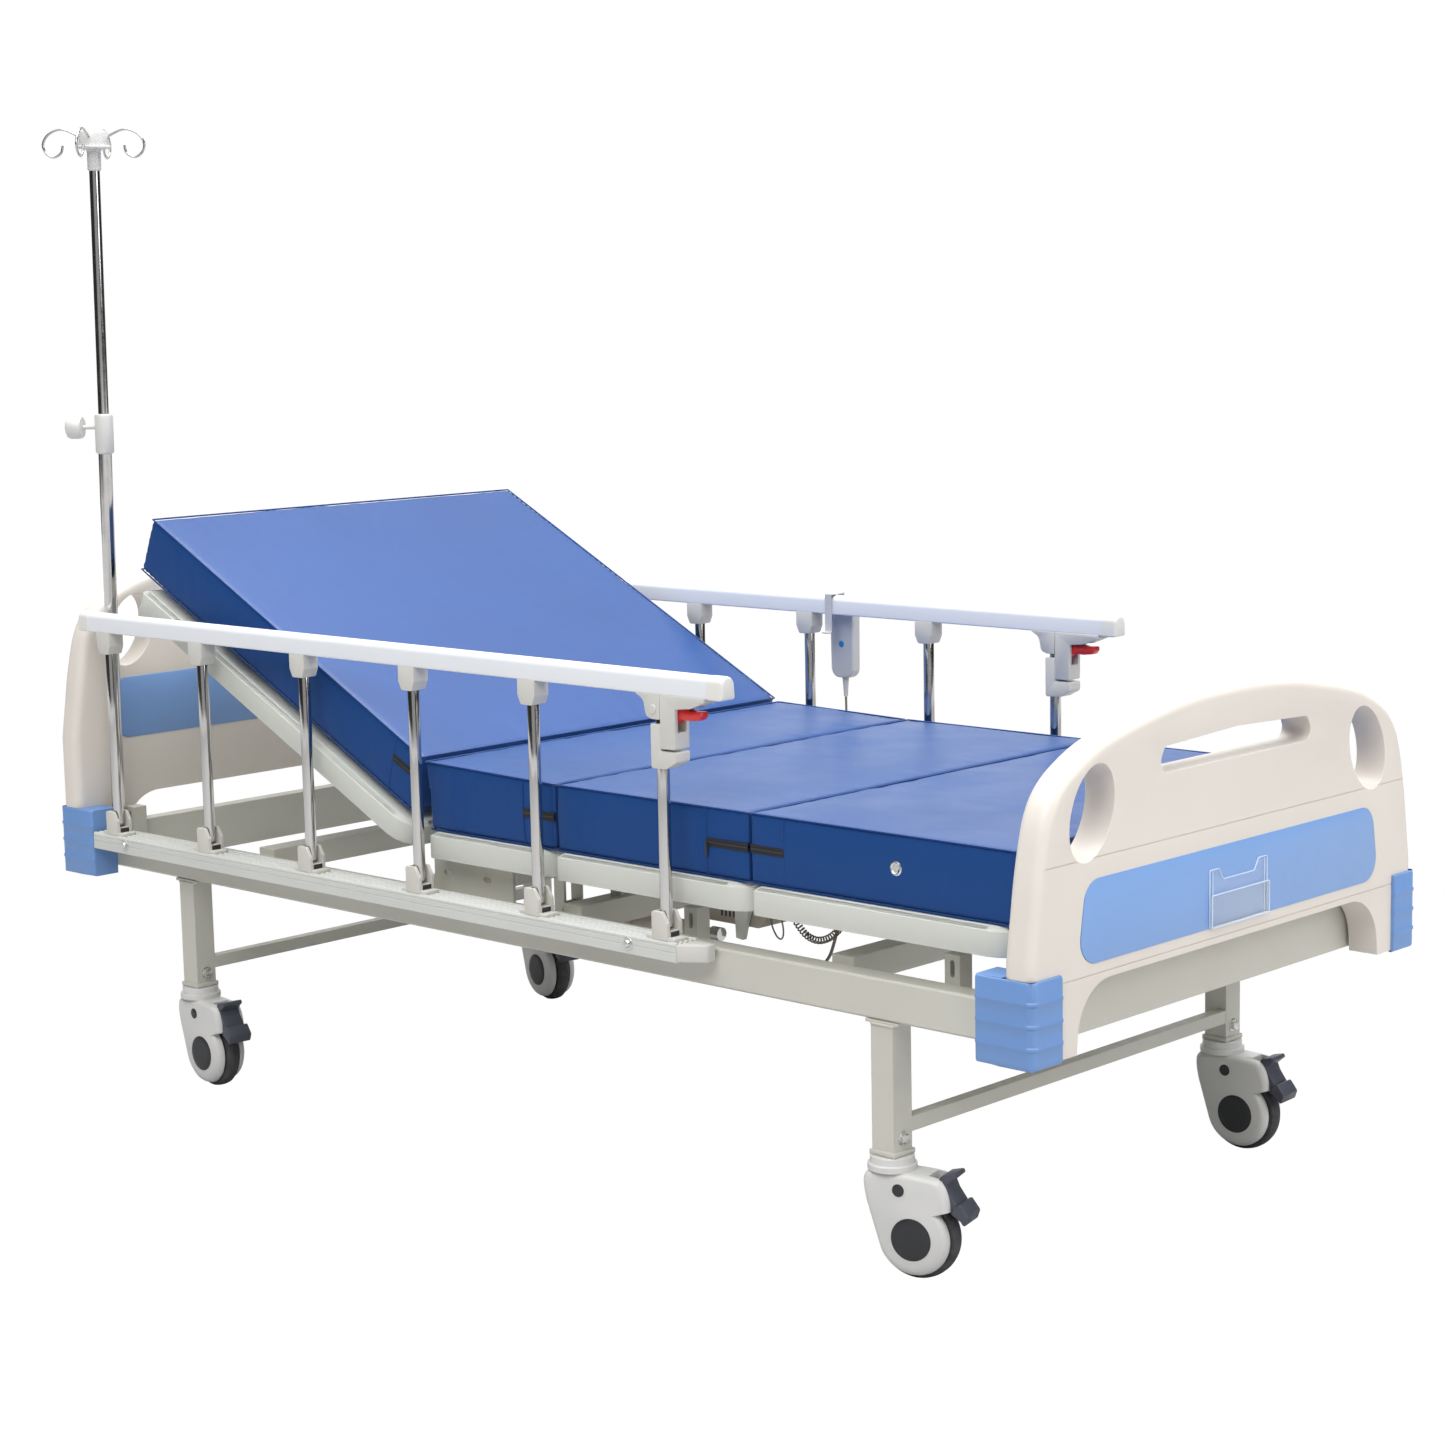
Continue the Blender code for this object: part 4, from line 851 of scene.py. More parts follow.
def make_bumpers(mats):
    """Corner pads with three thin raised ribs."""
    low, high = 0.359, 0.480
    for place in CORNERS:
        end, side = corner_signs(place)
        levels = [(0.0060, low), (0.0022, low + 0.0014), (0.0006, low + 0.0045), (0.0006, low + 0.0100)]
        for k in range(3):
            middle = low + 0.030 + 0.0305 * k
            levels += [(0.0006, middle - 0.0036), (-0.0006, middle - 0.0016), (-0.0006, middle + 0.0016),
                       (0.0006, middle + 0.0036)]
        levels += [(0.0006, high - 0.0045), (0.0020, high - 0.0012), (0.0042, high)]
        rings = [[(a, b, z) for a, b in bumper_outline(end, side, grow)] for grow, z in levels]
        show(f"bumper_{place}_visual", loft(rings), mats["bumper"], "frame", "bumper_plastic",
             [f"bumper_{place}"])


# ---------------------------------------------------------------- deck and mattress


DECK_LOW, DECK_EDGE, DECK_TOP, DECK_HALF = 0.4920, 0.5275, 0.5335, 0.438
DECKS = {"back": (-1.010, -0.218), "seat": (-0.145, 0.148), "thigh": (0.153, 0.562), "foot": (0.567, 1.045)}
BODY_OF = {"back": "back_section", "seat": "frame", "thigh": "thigh_section", "foot": "foot_section"}
BACK_HINGE = Vector((-0.1960, 0.0, 0.4700))
BACK_SWING = Matrix.Rotation(radians(26.3), 4, "Y")
BACK_TURN = Matrix.Translation(BACK_HINGE) @ BACK_SWING @ Matrix.Translation(-BACK_HINGE)


def deck_ring(x0, x1, inset, z, head_r, foot_r):
    half = DECK_HALF - inset
    corners = [(x0 + inset, -half), (x1 - inset, -half), (x1 - inset, half), (x0 + inset, half)]
    radii = [max(r - inset, 0.003) for r in (head_r, foot_r, foot_r, head_r)]
    return [(a, b, z) for a, b in rounded(corners, radii, 10)]


def make_decks(mats):
    """Fine moulded panels over the CAD decks, whose levers and lugs stay shown below."""
    levels = [(0.0022, DECK_LOW - 0.0002), (0.0006, DECK_LOW + 0.0006), (-0.0002, DECK_LOW + 0.0028),
              (-0.0002, DECK_EDGE - 0.0014),
              (0.0004, DECK_EDGE), (0.0022, DECK_EDGE + 0.0012), (0.0088, DECK_TOP - 0.0012),
              (0.0125, DECK_TOP + 0.0001)]
    for name, (x0, x1) in DECKS.items():
        rings = [deck_ring(x0, x1, inset, z, 0.012, 0.045) for inset, z in levels]
        turn = BACK_TURN if name == "back" else None
        show(f"{name}_deck_panel", loft(rings), mats["deck"], BODY_OF[name], "deck_plastic", turn=turn,
             sharp=30.0)
        paint_node(f"{name}_deck", mats["deck"])


MATTRESS_HALF, COVER_GRID = 0.425, 0.0065
SECTIONS = {
    "back": [(-0.9170, 0.9202), (-0.1950, 0.5580), (-0.1670, 0.6520), (-0.8746, 1.0125)],
    "seat": [(-0.1500, 0.5345), (0.1420, 0.5345), (0.1420, 0.6400), (-0.1600, 0.6470)],
    "thigh": [(0.1470, 0.5345), (0.5530, 0.5345), (0.5530, 0.6400), (0.1470, 0.6400)],
    "foot": [(0.5570, 0.5345), (1.0550, 0.5345), (1.0415, 0.6400), (0.5570, 0.6400)],
}
BENDS = {
    "back": ("frame", "back_section", (-0.175, 0.0, 0.600), (-0.330, 0.0, 0.680)),
    "thigh": ("frame", "thigh_section", (0.147, 0.0, 0.590), (0.230, 0.0, 0.590)),
    "foot": ("thigh_section", "foot_section", (0.557, 0.0, 0.590), (0.640, 0.0, 0.590)),
}


ZIP_LENGTH = {"thigh": 0.083}
ZIP_HEIGHT = {"back": 0.62}
VENTS = {"foot": (0.564, 0.536)}
ZIP_HALF, TEETH_HALF = 0.062, 0.014
SIDE_CROWN, COVER_TUCK = 0.0022, 0.0012


def in_section(name, along, up, y):
    """Point in a mattress section from shares along it and up it, both from 0 to 1."""
    a, b, c, d = (Vector(p) for p in SECTIONS[name])
    spot = a.lerp(b, along).lerp(d.lerp(c, along), up)
    return Vector((spot.x, y, spot.y))


def section_length(name):
    a, b = (Vector(p) for p in SECTIONS[name][:2])
    return (b - a).length


def section_mesh(name):
    """The section's block with rounded edges, remeshed evenly."""
    work = bmesh.new()
    corners = [work.verts.new(in_section(name, u, v, y)) for y in (-MATTRESS_HALF, MATTRESS_HALF)
               for u, v in ((0, 0), (1, 0), (1, 1), (0, 1))]
    for ids in ((0, 1, 2, 3), (7, 6, 5, 4), (0, 4, 5, 1), (1, 5, 6, 2), (2, 6, 7, 3), (3, 7, 4, 0)):
        work.faces.new([corners[i] for i in ids])
    bmesh.ops.recalc_face_normals(work, faces=work.faces)
    bmesh.ops.bevel(work, geom=work.edges[:], offset=0.0035, segments=2, affect="EDGES", profile=0.5)
    return changed(finish_mesh(work), "REMESH", mode="VOXEL", voxel_size=COVER_GRID)


def slacken(name, data):
    """Crowns the faces a little and adds soft puckers that gather at the ends and seams."""
    count = len(data.vertices)
    spots = np.empty(count * 3)
    data.vertices.foreach_get("co", spots)
    spots = spots.reshape(-1, 3)
    normals = np.array([v.normal for v in data.vertices])
    a, b, _, d = (Vector(p) for p in SECTIONS[name])
    run = (b - a).normalized()
    rise = Vector((-run.y, run.x))
    length, thick = (b - a).length, (d - a).dot(rise)
    s = ((spots[:, 0] - a.x) * run.x + (spots[:, 2] - a.y) * run.y) / length
    h = ((spots[:, 0] - a.x) * rise.x + (spots[:, 2] - a.y) * rise.y) / thick
    w = spots[:, 1] / MATTRESS_HALF
    s, h = np.clip(s, 0, 1), np.clip(h, 0, 1)
    facing_up = np.clip(normals @ np.array([rise.x, 0.0, rise.y]), 0, 1)
    facing_side = np.abs(normals[:, 1])
    crown = 0.0030 * facing_up * (1 - (2 * s - 1) ** 6) * (1 - w ** 6)
    crown += SIDE_CROWN * facing_side * np.sin(pi * h) * (1 - (2 * s - 1) ** 8)
    near_end = np.exp(-((np.minimum(s, 1 - s) * length) / 0.045) ** 2)
    shift = np.zeros(count)
    for i, spot in enumerate(spots):
        wide = noise.noise(Vector((spot[0] * 6, spot[1] * 5, spot[2] * 6)))
        fold = noise.noise(Vector((spot[0] * 12, spot[1] * 38, spot[2] * 24)))
        crease = noise.noise(Vector((spot[0] * 55, spot[1] * 14, spot[2] * 20)))
        shift[i] = 0.0011 * wide + 0.0009 * fold * (0.25 + near_end[i]) + 0.0006 * crease * facing_side[i]
    moved = spots + normals * (crown + shift - COVER_TUCK)[:, None]
    data.vertices.foreach_set("co", moved.ravel())
    data.update()
    return data


def place_soft(obj_name, pieces, material, section, slot_name, **more):
    bend = BENDS.get(section)
    return show(obj_name, pieces, material, BODY_OF[section], slot_name, blend=bend, **more)


def rim_path(name, up):
    """Loop round a section just outside its cover, at a height share."""
    half = MATTRESS_HALF - COVER_TUCK
    ends = [(0.0025, -half), (0.9975, -half), (0.9975, half), (0.0025, half)]
    loop = []
    for (u0, y0), (u1, y1) in zip(ends, ends[1:] + ends[:1]):
        for k in range(40):
            t = k / 40
            loop.append(in_section(name, u0 + (u1 - u0) * t, up, y0 + (y1 - y0) * t))
    return loop


def side_face(name, along, up, side, proud):
    """Point on the cover's crowned side, standing proud of it."""
    crown = SIDE_CROWN * sin(pi * up) * (1 - (2 * along - 1) ** 8) - COVER_TUCK
    return in_section(name, along, up, side * (MATTRESS_HALF + crown + proud))


def side_seam(name, along, radius=0.0011):
    """Vertical sewn seams on both long sides."""
    ups = [0.02 + 0.96 * k / 16 for k in range(17)]
    return [tube([side_face(name, along, up, side, 0.0002) for up in ups], radius, 6) for side in (-1, 1)]


def strip_on_side(name, start, end, up_low, up_high, proud, steps=10):
    """Flat tape laid on both long sides, following the crown."""
    pieces = []
    for side in (-1, 1):
        rings = []
        for k in range(steps + 1):
            u = start + (end - start) * k / steps
            rings.append([side_face(name, u, v, side, out) for v, out in
                          ((up_low, -0.004), (up_high, -0.004), (up_high, proud), (up_low, proud))])
        pieces.append(loft(rings))
    return pieces


def zip_pieces(name, start, end, middle):
    """Black tape and its raised teeth."""
    tape = strip_on_side(name, start, end, middle - ZIP_HALF, middle + ZIP_HALF, 0.0012)
    teeth = strip_on_side(name, start, end, middle - TEETH_HALF, middle + TEETH_HALF, 0.0022)
    return tape, teeth


def puller(name, along, middle):
    """Zip tab that hangs from one end of the teeth, on both sides."""
    pieces = []
    for side in (-1, 1):
        top, low = (side_face(name, along, v, side, 0.0032) for v in (middle, middle - 0.20))
        pieces.append(tube([top, top.lerp(low, 0.5), low], 0.0022, 8))
    return pieces


def vent(name, along, up, side):
    centre = in_section(name, along, up, side * (MATTRESS_HALF + 0.0001))
    profile = [(0.0075, -0.004), (0.0105, 0.0), (0.0105, 0.0012), (0.0085, 0.0022), (0.0072, 0.0016),
               (0.0068, 0.0010)]
    return turned(profile, centre, (0, side, 0), 28)


def make_section_trim(mats, name):
    """Piping, seams, zip and vents of one mattress section."""
    welts = [tube(rim_path(name, up), 0.0016, 7, loop=True) for up in (0.985, 0.012)]
    place_soft(f"mattress_{name}_piping", welts, mats["welt"], name, "mattress_cover", sharp=80.0)
    inset = ZIP_LENGTH.get(name, 0.068) / section_length(name)
    at_foot = name != "foot"
    seams = side_seam(name, 1 - inset if at_foot else inset)
    place_soft(f"mattress_{name}_seams", seams, mats["welt"], name, "mattress_cover", sharp=80.0)
    start, end = (1 - inset, 0.998) if at_foot else (0.002, inset)
    middle = ZIP_HEIGHT.get(name, 0.50)
    tape, teeth = zip_pieces(name, start, end, middle)
    pulls = puller(name, start + 0.006, middle) if name == "thigh" else []
    place_soft(f"mattress_{name}_zip", tape, mats["zip"], name, "cord_jacket")
    place_soft(f"mattress_{name}_zip_teeth", teeth + pulls, mats["black"], name, "cord_jacket")
    if name in VENTS:
        rings = [vent(name, *VENTS[name], side) for side in (-1, 1)]
        place_soft(f"mattress_{name}_vents", rings, mats["zinc"], name, "stainless")


def make_mattress(mats):
    for name in SECTIONS:
        data = slacken(name, section_mesh(name))
        pad = place_soft(f"mattress_{name}_visual", data, mats["cover"], name, "mattress_cover",
                         replaces=[f"mattress_{name}"], sharp=60.0)
        make_section_trim(mats, name)


# ---------------------------------------------------------------- side rails


RAIL_Y, RAIL_LOW, RAIL_HIGH = 0.4694, 0.809, 0.843
RAIL_ENDS = (-1.034, 0.562)
POST_X = (-0.957, -0.686, -0.407, -0.130, 0.150, 0.427)
RAIL_SHIFT = {"near": 0.0, "far": 0.009}
POST_R, PIVOT_LOW, PIVOT_HIGH = 0.0095, 0.4670, 0.7880
CHANNEL_LOW, CHANNEL_HIGH, CLAMP_TOP = 0.4130, 0.4430, 0.4855


def channel_profile(side):
    ribs = []
    for i in range(5):
        y = 0.4375 + 0.0105 * i
        ribs += [(y, CHANNEL_HIGH - 0.0025), (y + 0.0012, CHANNEL_HIGH - 0.0004), (y + 0.0022, CHANNEL_HIGH),
                 (y + 0.0048, CHANNEL_HIGH), (y + 0.0058, CHANNEL_HIGH - 0.0004),
                 (y + 0.0070, CHANNEL_HIGH - 0.0025)]
    face = []
    for k in range(2):
        z = 0.4360 - 0.0085 * k
        face += [(0.4870, z + 0.0012), (0.4862, z), (0.4870, z - 0.0012)]
    profile = [(0.4352, CHANNEL_LOW), (0.4352, CHANNEL_HIGH - 0.0025), *ribs,
               (0.4870, CHANNEL_HIGH - 0.0030), *face,
               (0.4870, CHANNEL_LOW + 0.0008), (0.4862, CHANNEL_LOW)]
    return [(side * a, b) for a, b in profile]


def bolt(centre, axis, size=0.010):
    """Washer and low round head on a face."""
    return turned([(size, -0.001), (size, 0.0010), (size * 0.96, 0.0014), (size * 0.64, 0.0015),
                   (size * 0.60, 0.0042),
                   (size * 0.46, 0.0058), (size * 0.20, 0.0062)], centre, axis, 28)


def clamp_pieces(x, side):
    """Moulded foot that holds a post: base plate, body with a rounded top, and a slot for the post."""
    y = side * RAIL_Y
    plate = block((x - 0.0300, y - 0.0148, CHANNEL_HIGH - 0.002),
                  (x + 0.0300, y + 0.0148, CHANNEL_HIGH + 0.0052), 0.0016)
    outline = rounded([(x - 0.0165, CHANNEL_HIGH), (x + 0.0165, CHANNEL_HIGH), (x + 0.0165, 0.4690),
                       (x + 0.0060, CLAMP_TOP),
                       (x - 0.0165, CLAMP_TOP)], [0.001, 0.001, 0.004, 0.004, 0.004], 5)
    body = prism(outline, "Y", y - 0.0163, y + 0.0163, 0.0012)
    slot = block((x - 0.0104, y - 0.0103, 0.4565), (x + 0.040, y + 0.0103, 0.520))
    return plate, cut(body, [slot])


def bracket_mesh(x, side):
    """Socket under the bar that holds a post's upper pivot."""
    y = side * RAIL_Y
    outline = rounded([(x - 0.0120, 0.7705), (x + 0.0125, 0.7705), (x + 0.0190, 0.7850),
                       (x + 0.0190, RAIL_LOW + 0.001),
                       (x - 0.0190, RAIL_LOW + 0.001), (x - 0.0190, 0.7850)],
                      [0.004, 0.004, 0.006, 0.001, 0.001, 0.006], 5)
    return cut(prism(outline, "Y", y - 0.0152, y + 0.0152, 0.0015), [bracket_gap(x, y)])


def bracket_gap(x, y):
    """Slot, open toward the head end, in which the post swings as the rail folds."""
    return block((x - 0.060, y - 0.0103, 0.750), (x + 0.0103, y + 0.0103, PIVOT_HIGH + 0.0104))


def bar_profile(y):
    corners = [(y - 0.015, RAIL_LOW), (y + 0.015, RAIL_LOW), (y + 0.0125, RAIL_HIGH),
               (y - 0.0125, RAIL_HIGH)]
    return rounded(corners, [0.0025, 0.0025, 0.0118, 0.0118], 8)


def end_cap(x, way, y):
    """Plug with a shallow collar that closes the bar's end."""
    rings = []
    for along, shrink in ((-0.022, 1.035), (0.0, 1.035), (0.0035, 1.0), (0.0060, 0.90), (0.0068, 0.74)):
        middle = (RAIL_LOW + RAIL_HIGH) / 2
        rings.append([(x + way * along, y + (a - y) * shrink, middle + (b - middle) * shrink) for a,
                      b in bar_profile(y)])
    return loft(rings)


def latch_catch(x, side):
    y = side * RAIL_Y
    outline = rounded([(x - 0.0100, 0.6990), (x + 0.0200, 0.7000), (x + 0.0410, 0.7110),
                       (x + 0.0410, 0.7262),
                       (x + 0.0104, 0.7262), (x + 0.0104, 0.7655), (x - 0.0100, 0.7655)],
                      [0.004, 0.006, 0.005, 0.002, 0.001, 0.002, 0.002], 5)
    return prism(outline, "Y", y - 0.0152, y + 0.0152, 0.0012)


def latch_housing(x, side):
    y = side * RAIL_Y
    outline = rounded([(x + 0.0106, 0.7297), (x + 0.0400, 0.7297), (x + 0.0410, 0.7900),
                       (x + 0.0710, 0.7930),
                       (x + 0.1000, 0.8040), (x + 0.1000, RAIL_LOW + 0.001), (x + 0.0106, RAIL_LOW + 0.001)],
                      [0.003, 0.003, 0.004, 0.010, 0.002, 0.001, 0.001], 5)
    room = block((x + 0.0205, y - 0.0090, 0.755), (x + 0.0900, y + 0.0090, 0.7962))
    return cut(prism(outline, "Y", y - 0.0157, y + 0.0157, 0.0014), [room])


def latch_gusset(x, side):
    """Head-side web that sweeps from the bar down to the last post's pivot."""
    y = side * RAIL_Y
    outline = rounded([(x - 0.0430, RAIL_LOW + 0.001), (x - 0.0240, 0.8000), (x - 0.0190, 0.7760),
                       (x - 0.0080, 0.7722),
                       (x + 0.0090, 0.7722), (x + 0.0102, RAIL_LOW + 0.001)],
                      [0.001, 0.014, 0.009, 0.006, 0.002, 0.001], 6)
    disc = turned([(0.0070, -0.002), (0.0070, 0.0010), (0.0060, 0.0018), (0.0025, 0.0020)],
                  (x - 0.004, y + side * 0.0152, 0.787),
                  (0, side, 0), 28)
    return [cut(prism(outline, "Y", y - 0.0152, y + 0.0152, 0.0012), [bracket_gap(x, y)]), disc]


def trigger(x, side):
    y = side * RAIL_Y
    outline = rounded([(x + 0.0222, 0.7915), (x + 0.0222, 0.7680), (x + 0.0290, 0.7655),
                       (x + 0.0360, 0.7675), (x + 0.0410, 0.7745),
                       (x + 0.0640, 0.7740), (x + 0.0820, 0.7760), (x + 0.0870, 0.7820),
                       (x + 0.0860, 0.7890), (x + 0.0700, 0.7880),
                       (x + 0.0520, 0.7915)],
                      [0.002, 0.004, 0.003, 0.003, 0.004, 0.006, 0.004, 0.003, 0.002, 0.004, 0.004], 4)
    return prism(outline, "Y", y - 0.0080, y + 0.0080, 0.0015)


def post_mesh(x, side):
    y = side * RAIL_Y
    length = PIVOT_HIGH - PIVOT_LOW
    profile = [(0.0035, -0.0088), (0.0080, -0.0051), (POST_R, 0.0), (POST_R, length),
               (0.0080, length + 0.0051), (0.0035, length + 0.0088)]
    return turned(profile, (x, y, PIVOT_LOW), (0, 0, 1), 36)


def make_side_rail(mats, place):
    side = SIDES[place]
    y = side * RAIL_Y
    spots = [x + RAIL_SHIFT[place] for x in POST_X]
    last = spots[-1]
    channel = prism(channel_profile(side), "X", -1.013, 0.461)
    nose = prism(rounded([(0.459, 0.4352), (0.500, 0.4420), (0.500, 0.4600), (0.459, 0.4868)],
                         [0.0, 0.004, 0.008, 0.0], 5)
                 if side > 0 else rounded([(0.459, -0.4868), (0.500, -0.4600), (0.500, -0.4420),
                                           (0.459, -0.4352)],
                                          [0.0, 0.008, 0.004, 0.0], 5), "Z", CHANNEL_LOW + 0.001,
                 CHANNEL_HIGH - 0.003, 0.002)
    show(f"rail_channel_{place}", channel, mats["channel"], "frame", "rail_aluminium",
         [f"rail_base_{place}"], sharp=25.0)
    show(f"rail_nose_{place}", nose, mats["bracket"], "frame", "rail_aluminium")
    plates, bodies = zip(*(clamp_pieces(x, side) for x in spots))
    show(f"rail_clamps_{place}", [*plates, *bodies], mats["clamp"], "frame", "rail_aluminium")
    sockets = [block((x + 0.0100, y - 0.0092, 0.4425), (x + 0.0170, y + 0.0092, 0.4560), 0.0005,
                     1) for x in spots]
    show(f"rail_sockets_{place}", sockets, mats["black"], "frame", "cord_jacket")
    bolts = [bolt((x, side * 0.4868, 0.429), (0, side, 0)) for x in (-0.917, 0.362)]
    show(f"rail_bolts_{place}", bolts, mats["zinc"], "frame", "stainless")
    for i, x in enumerate(spots):
        body = f"rail_post_{place}_{i + 1}"
        show(f"{body}_visual", post_mesh(x, side), mats["steel"], body, "stainless", [body])
    show(f"rail_catch_{place}", latch_catch(last, side), mats["bracket"], f"rail_post_{place}_6",
         "stainless")
    ends = [x + RAIL_SHIFT[place] for x in RAIL_ENDS]
    body = f"rail_bar_{place}"
    show(f"{body}_visual", prism(bar_profile(y), "X", ends[0] + 0.004, ends[1] - 0.004), mats["enamel"],
         body, "rail_aluminium", [body])
    show(f"{body}_caps", [end_cap(ends[0] + 0.0070, -1, y), end_cap(ends[1] - 0.0070, 1, y)], mats["cap"],
         body, "rail_aluminium")
    show(f"{body}_brackets", [bracket_mesh(x, side) for x in spots[:-1]], mats["bracket"], body,
         "rail_aluminium")
    show(f"{body}_latch", [latch_housing(last, side), *latch_gusset(last, side)], mats["bracket"], body,
         "rail_aluminium")
    show(f"rail_trigger_{place}_visual", trigger(last, side), mats["red"], f"rail_trigger_{place}",
         "red_plastic",
         [f"rail_trigger_{place}"])


# ---------------------------------------------------------------- undercarriage


LEG_X, LEG_Y, LEG_WELD_Z = 0.8113, 0.4143, 0.3660
CASTER_TOP, WHEEL_R, TRAIL = 0.1759, 0.0625, 0.041


def caster_outline(grow=0.0):
    lobe = [(TRAIL + (0.0545 + grow) * cos(t), WHEEL_R + (0.0545 + grow) * sin(t)) for t in
            [radians(195 + 5 * i) for i in range(43)]]
    neck = [Vector(p) for p in ((0.0985, 0.1080), (0.0970, 0.1250), (0.0900, 0.1440), (0.0780, 0.1530),
                                (0.0400, 0.1560),
                                (0.0, 0.1560), (-0.0240, 0.1550), (-0.0345, 0.1470), (-0.0350, 0.1300),
                                (-0.0310, 0.1100))]
    smooth = [tuple(p) for p in curve_through(neck, 4)]
    return lobe + smooth


def caster_shell(side):
    """One half of the housing: a shallow moulded dish with a rounded rim, beside the wheel."""
    outline = caster_outline()
    centre = Vector((0.034, 0.098))
    rings = []
    for share, out in ((1.0, 0.0157), (1.0, 0.0185), (0.985, 0.0225), (0.955, 0.0260), (0.905, 0.0286),
                       (0.840, 0.0297)):
        rings.append([(centre.x + (a - centre.x) * share, side * out,
                       centre.y + (b - centre.y) * share) for a, b in outline])
    return loft(rings)


def make_caster(mats, place):
    end, side = corner_signs(place)
    stem = Vector((end * LEG_X, side * LEG_Y, 0.0))
    spin = Matrix.Translation(stem) @ Matrix.Rotation(radians(SWIVEL_DEG[place]), 4, "Z")
    bridge = prism(rounded([(-0.0335, 0.1405), (0.0640, 0.1405), (0.0640, 0.1558), (-0.0335, 0.1558)],
                           [0.004, 0.004, 0.001, 0.010], 5), "Y", -0.0160, 0.0160)
    collar = turned([(0.0345, 0.1545), (0.0356, 0.1556), (0.0356, 0.1632), (0.0345, 0.1644),
                     (0.0322, 0.1650), (0.0318, 0.1665),
                     (0.0318, 0.1742), (0.0305, 0.1757)],
                    (0, 0, 0), (0, 0, 1), 48)
    shells = [caster_shell(-1), caster_shell(1)]
    plugs = []
    for way in (-1, 1):
        face = way * 0.0298
        plugs.append(turned([(0.0308, -0.002), (0.0308, 0.0004), (0.0296, 0.0012), (0.0200, 0.0016)],
                            (TRAIL, face, WHEEL_R),
                            (0, way, 0), 36))
        plugs.append(turned([(0.0092, -0.002), (0.0092, 0.0004), (0.0082, 0.0010)], (0.022, face, 0.132),
                            (0, way, 0), 28))
    show(f"caster_housing_{place}_visual", [*shells, bridge, collar], mats["white"], f"caster_{place}",
         "caster_plastic", [f"caster_housing_{place}"], turn=spin)
    show(f"caster_plugs_{place}", plugs, mats["black"], f"caster_{place}", "pedal_plastic", turn=spin)
    tread = [(0.0460, -0.0118), (0.0540, -0.0130), (0.0590, -0.0118), (0.0615, -0.0085), (WHEEL_R, -0.0035),
             (WHEEL_R, 0.0035),
             (0.0615, 0.0085), (0.0590, 0.0118), (0.0540, 0.0130), (0.0460, 0.0118)]
    tyre = turned(tread, (TRAIL, 0, WHEEL_R), (0, 1, 0), 72)
    show(f"caster_wheel_{place}_visual", tyre, mats["tyre"], f"wheel_{place}", "tyre_rubber",
         [f"caster_wheel_{place}"], turn=spin)
    arm = prism(rounded([(0.0740, 0.1440), (0.0780, 0.1500), (0.0900, 0.1500), (0.0960, 0.1350),
                         (0.1080, 0.1180),
                         (0.0980, 0.1080), (0.0860, 0.1280), (0.0760, 0.1360)],
                        [0.002, 0.003, 0.004, 0.006, 0.002, 0.002, 0.005, 0.002], 4), "Y", -0.0195, 0.0195,
                0.0012)
    upper = prism(rounded([(0.0780, 0.1490), (0.0840, 0.1580), (0.1030, 0.1625), (0.1050, 0.1570),
                           (0.0900, 0.1440)],
                          [0.001, 0.004, 0.0025, 0.0015, 0.002], 4), "Y", -0.0190, 0.0190, 0.0014)
    lower = prism(rounded([(0.0990, 0.1060), (0.1040, 0.1160), (0.1130, 0.1210), (0.1260, 0.1040),
                           (0.1200, 0.0870), (0.1140, 0.0960)],
                          [0.002, 0.003, 0.003, 0.005, 0.003, 0.004], 4), "Y", -0.0225, 0.0225, 0.0016)
    show(f"brake_pedal_{place}_visual", [arm, upper, lower], mats["pedal"], f"brake_{place}",
         "pedal_plastic",
         [f"brake_pedal_{place}"], turn=spin)
    pins = [turned([(0.0055, -0.001), (0.0055, 0.0025), (0.0040, 0.0034)], (0.0830, way * 0.0193, 0.1430),
                   (0, way, 0), 24)
            for way in (-1, 1)]
    show(f"brake_pin_{place}", pins, mats["zinc"], f"brake_{place}", "stainless", turn=spin)


def make_leg_details(mats):
    """Cap plates, hexagon bolts and weld beads on the four legs."""
    plates, bolts, beads = [], [], []
    for end in (-1, 1):
        for side in (-1, 1):
            x, y = end * LEG_X, side * LEG_Y
            plates.append(block((x - 0.0232, y - 0.0232, CASTER_TOP + 0.0003),
                                (x + 0.0232, y + 0.0232, 0.1832), 0.0012))
            head = prism(circle(y, 0.201, 0.0086, 6), "X", x + 0.0198, x + 0.0274, 0.0008)
            washer = turned([(0.0105, 0.0), (0.0105, 0.0012), (0.0098, 0.0016)], (x + 0.0196, y, 0.201),
                            (1, 0, 0), 28)
            bolts += [head, washer]
            ring = [(x + a, y + b, LEG_WELD_Z) for a, b in rectangle(-0.0203, -0.0203, 0.0203, 0.0203,
                                                                     0.003, 4)]
            beads.append(tube(ring, 0.0020, 8, loop=True))
    show("leg_cap_plates", plates, mats["paint"], "frame", "frame_paint")
    show("leg_bolts", bolts, mats["zinc"], "frame", "stainless")
    show("leg_welds", beads, mats["paint"], "frame", "frame_paint")


# ---------------------------------------------------------------- infusion pole, drives, box and handset


POLE_BASE = Vector((-1.0380, -0.4143, 0.4324))
POLE_DIR = Vector((sin(radians(1.3)), 0.0, cos(radians(1.3))))
HOOK_TURN, KNOB_TURN = radians(37.0), radians(217.0)


def on_pole(height, out=0.0, turn=0.0):
    side = Vector((POLE_DIR.z, 0.0, -POLE_DIR.x))
    other = POLE_DIR.cross(side)
    return POLE_BASE + POLE_DIR * height + out * (cos(turn) * side + sin(turn) * other)


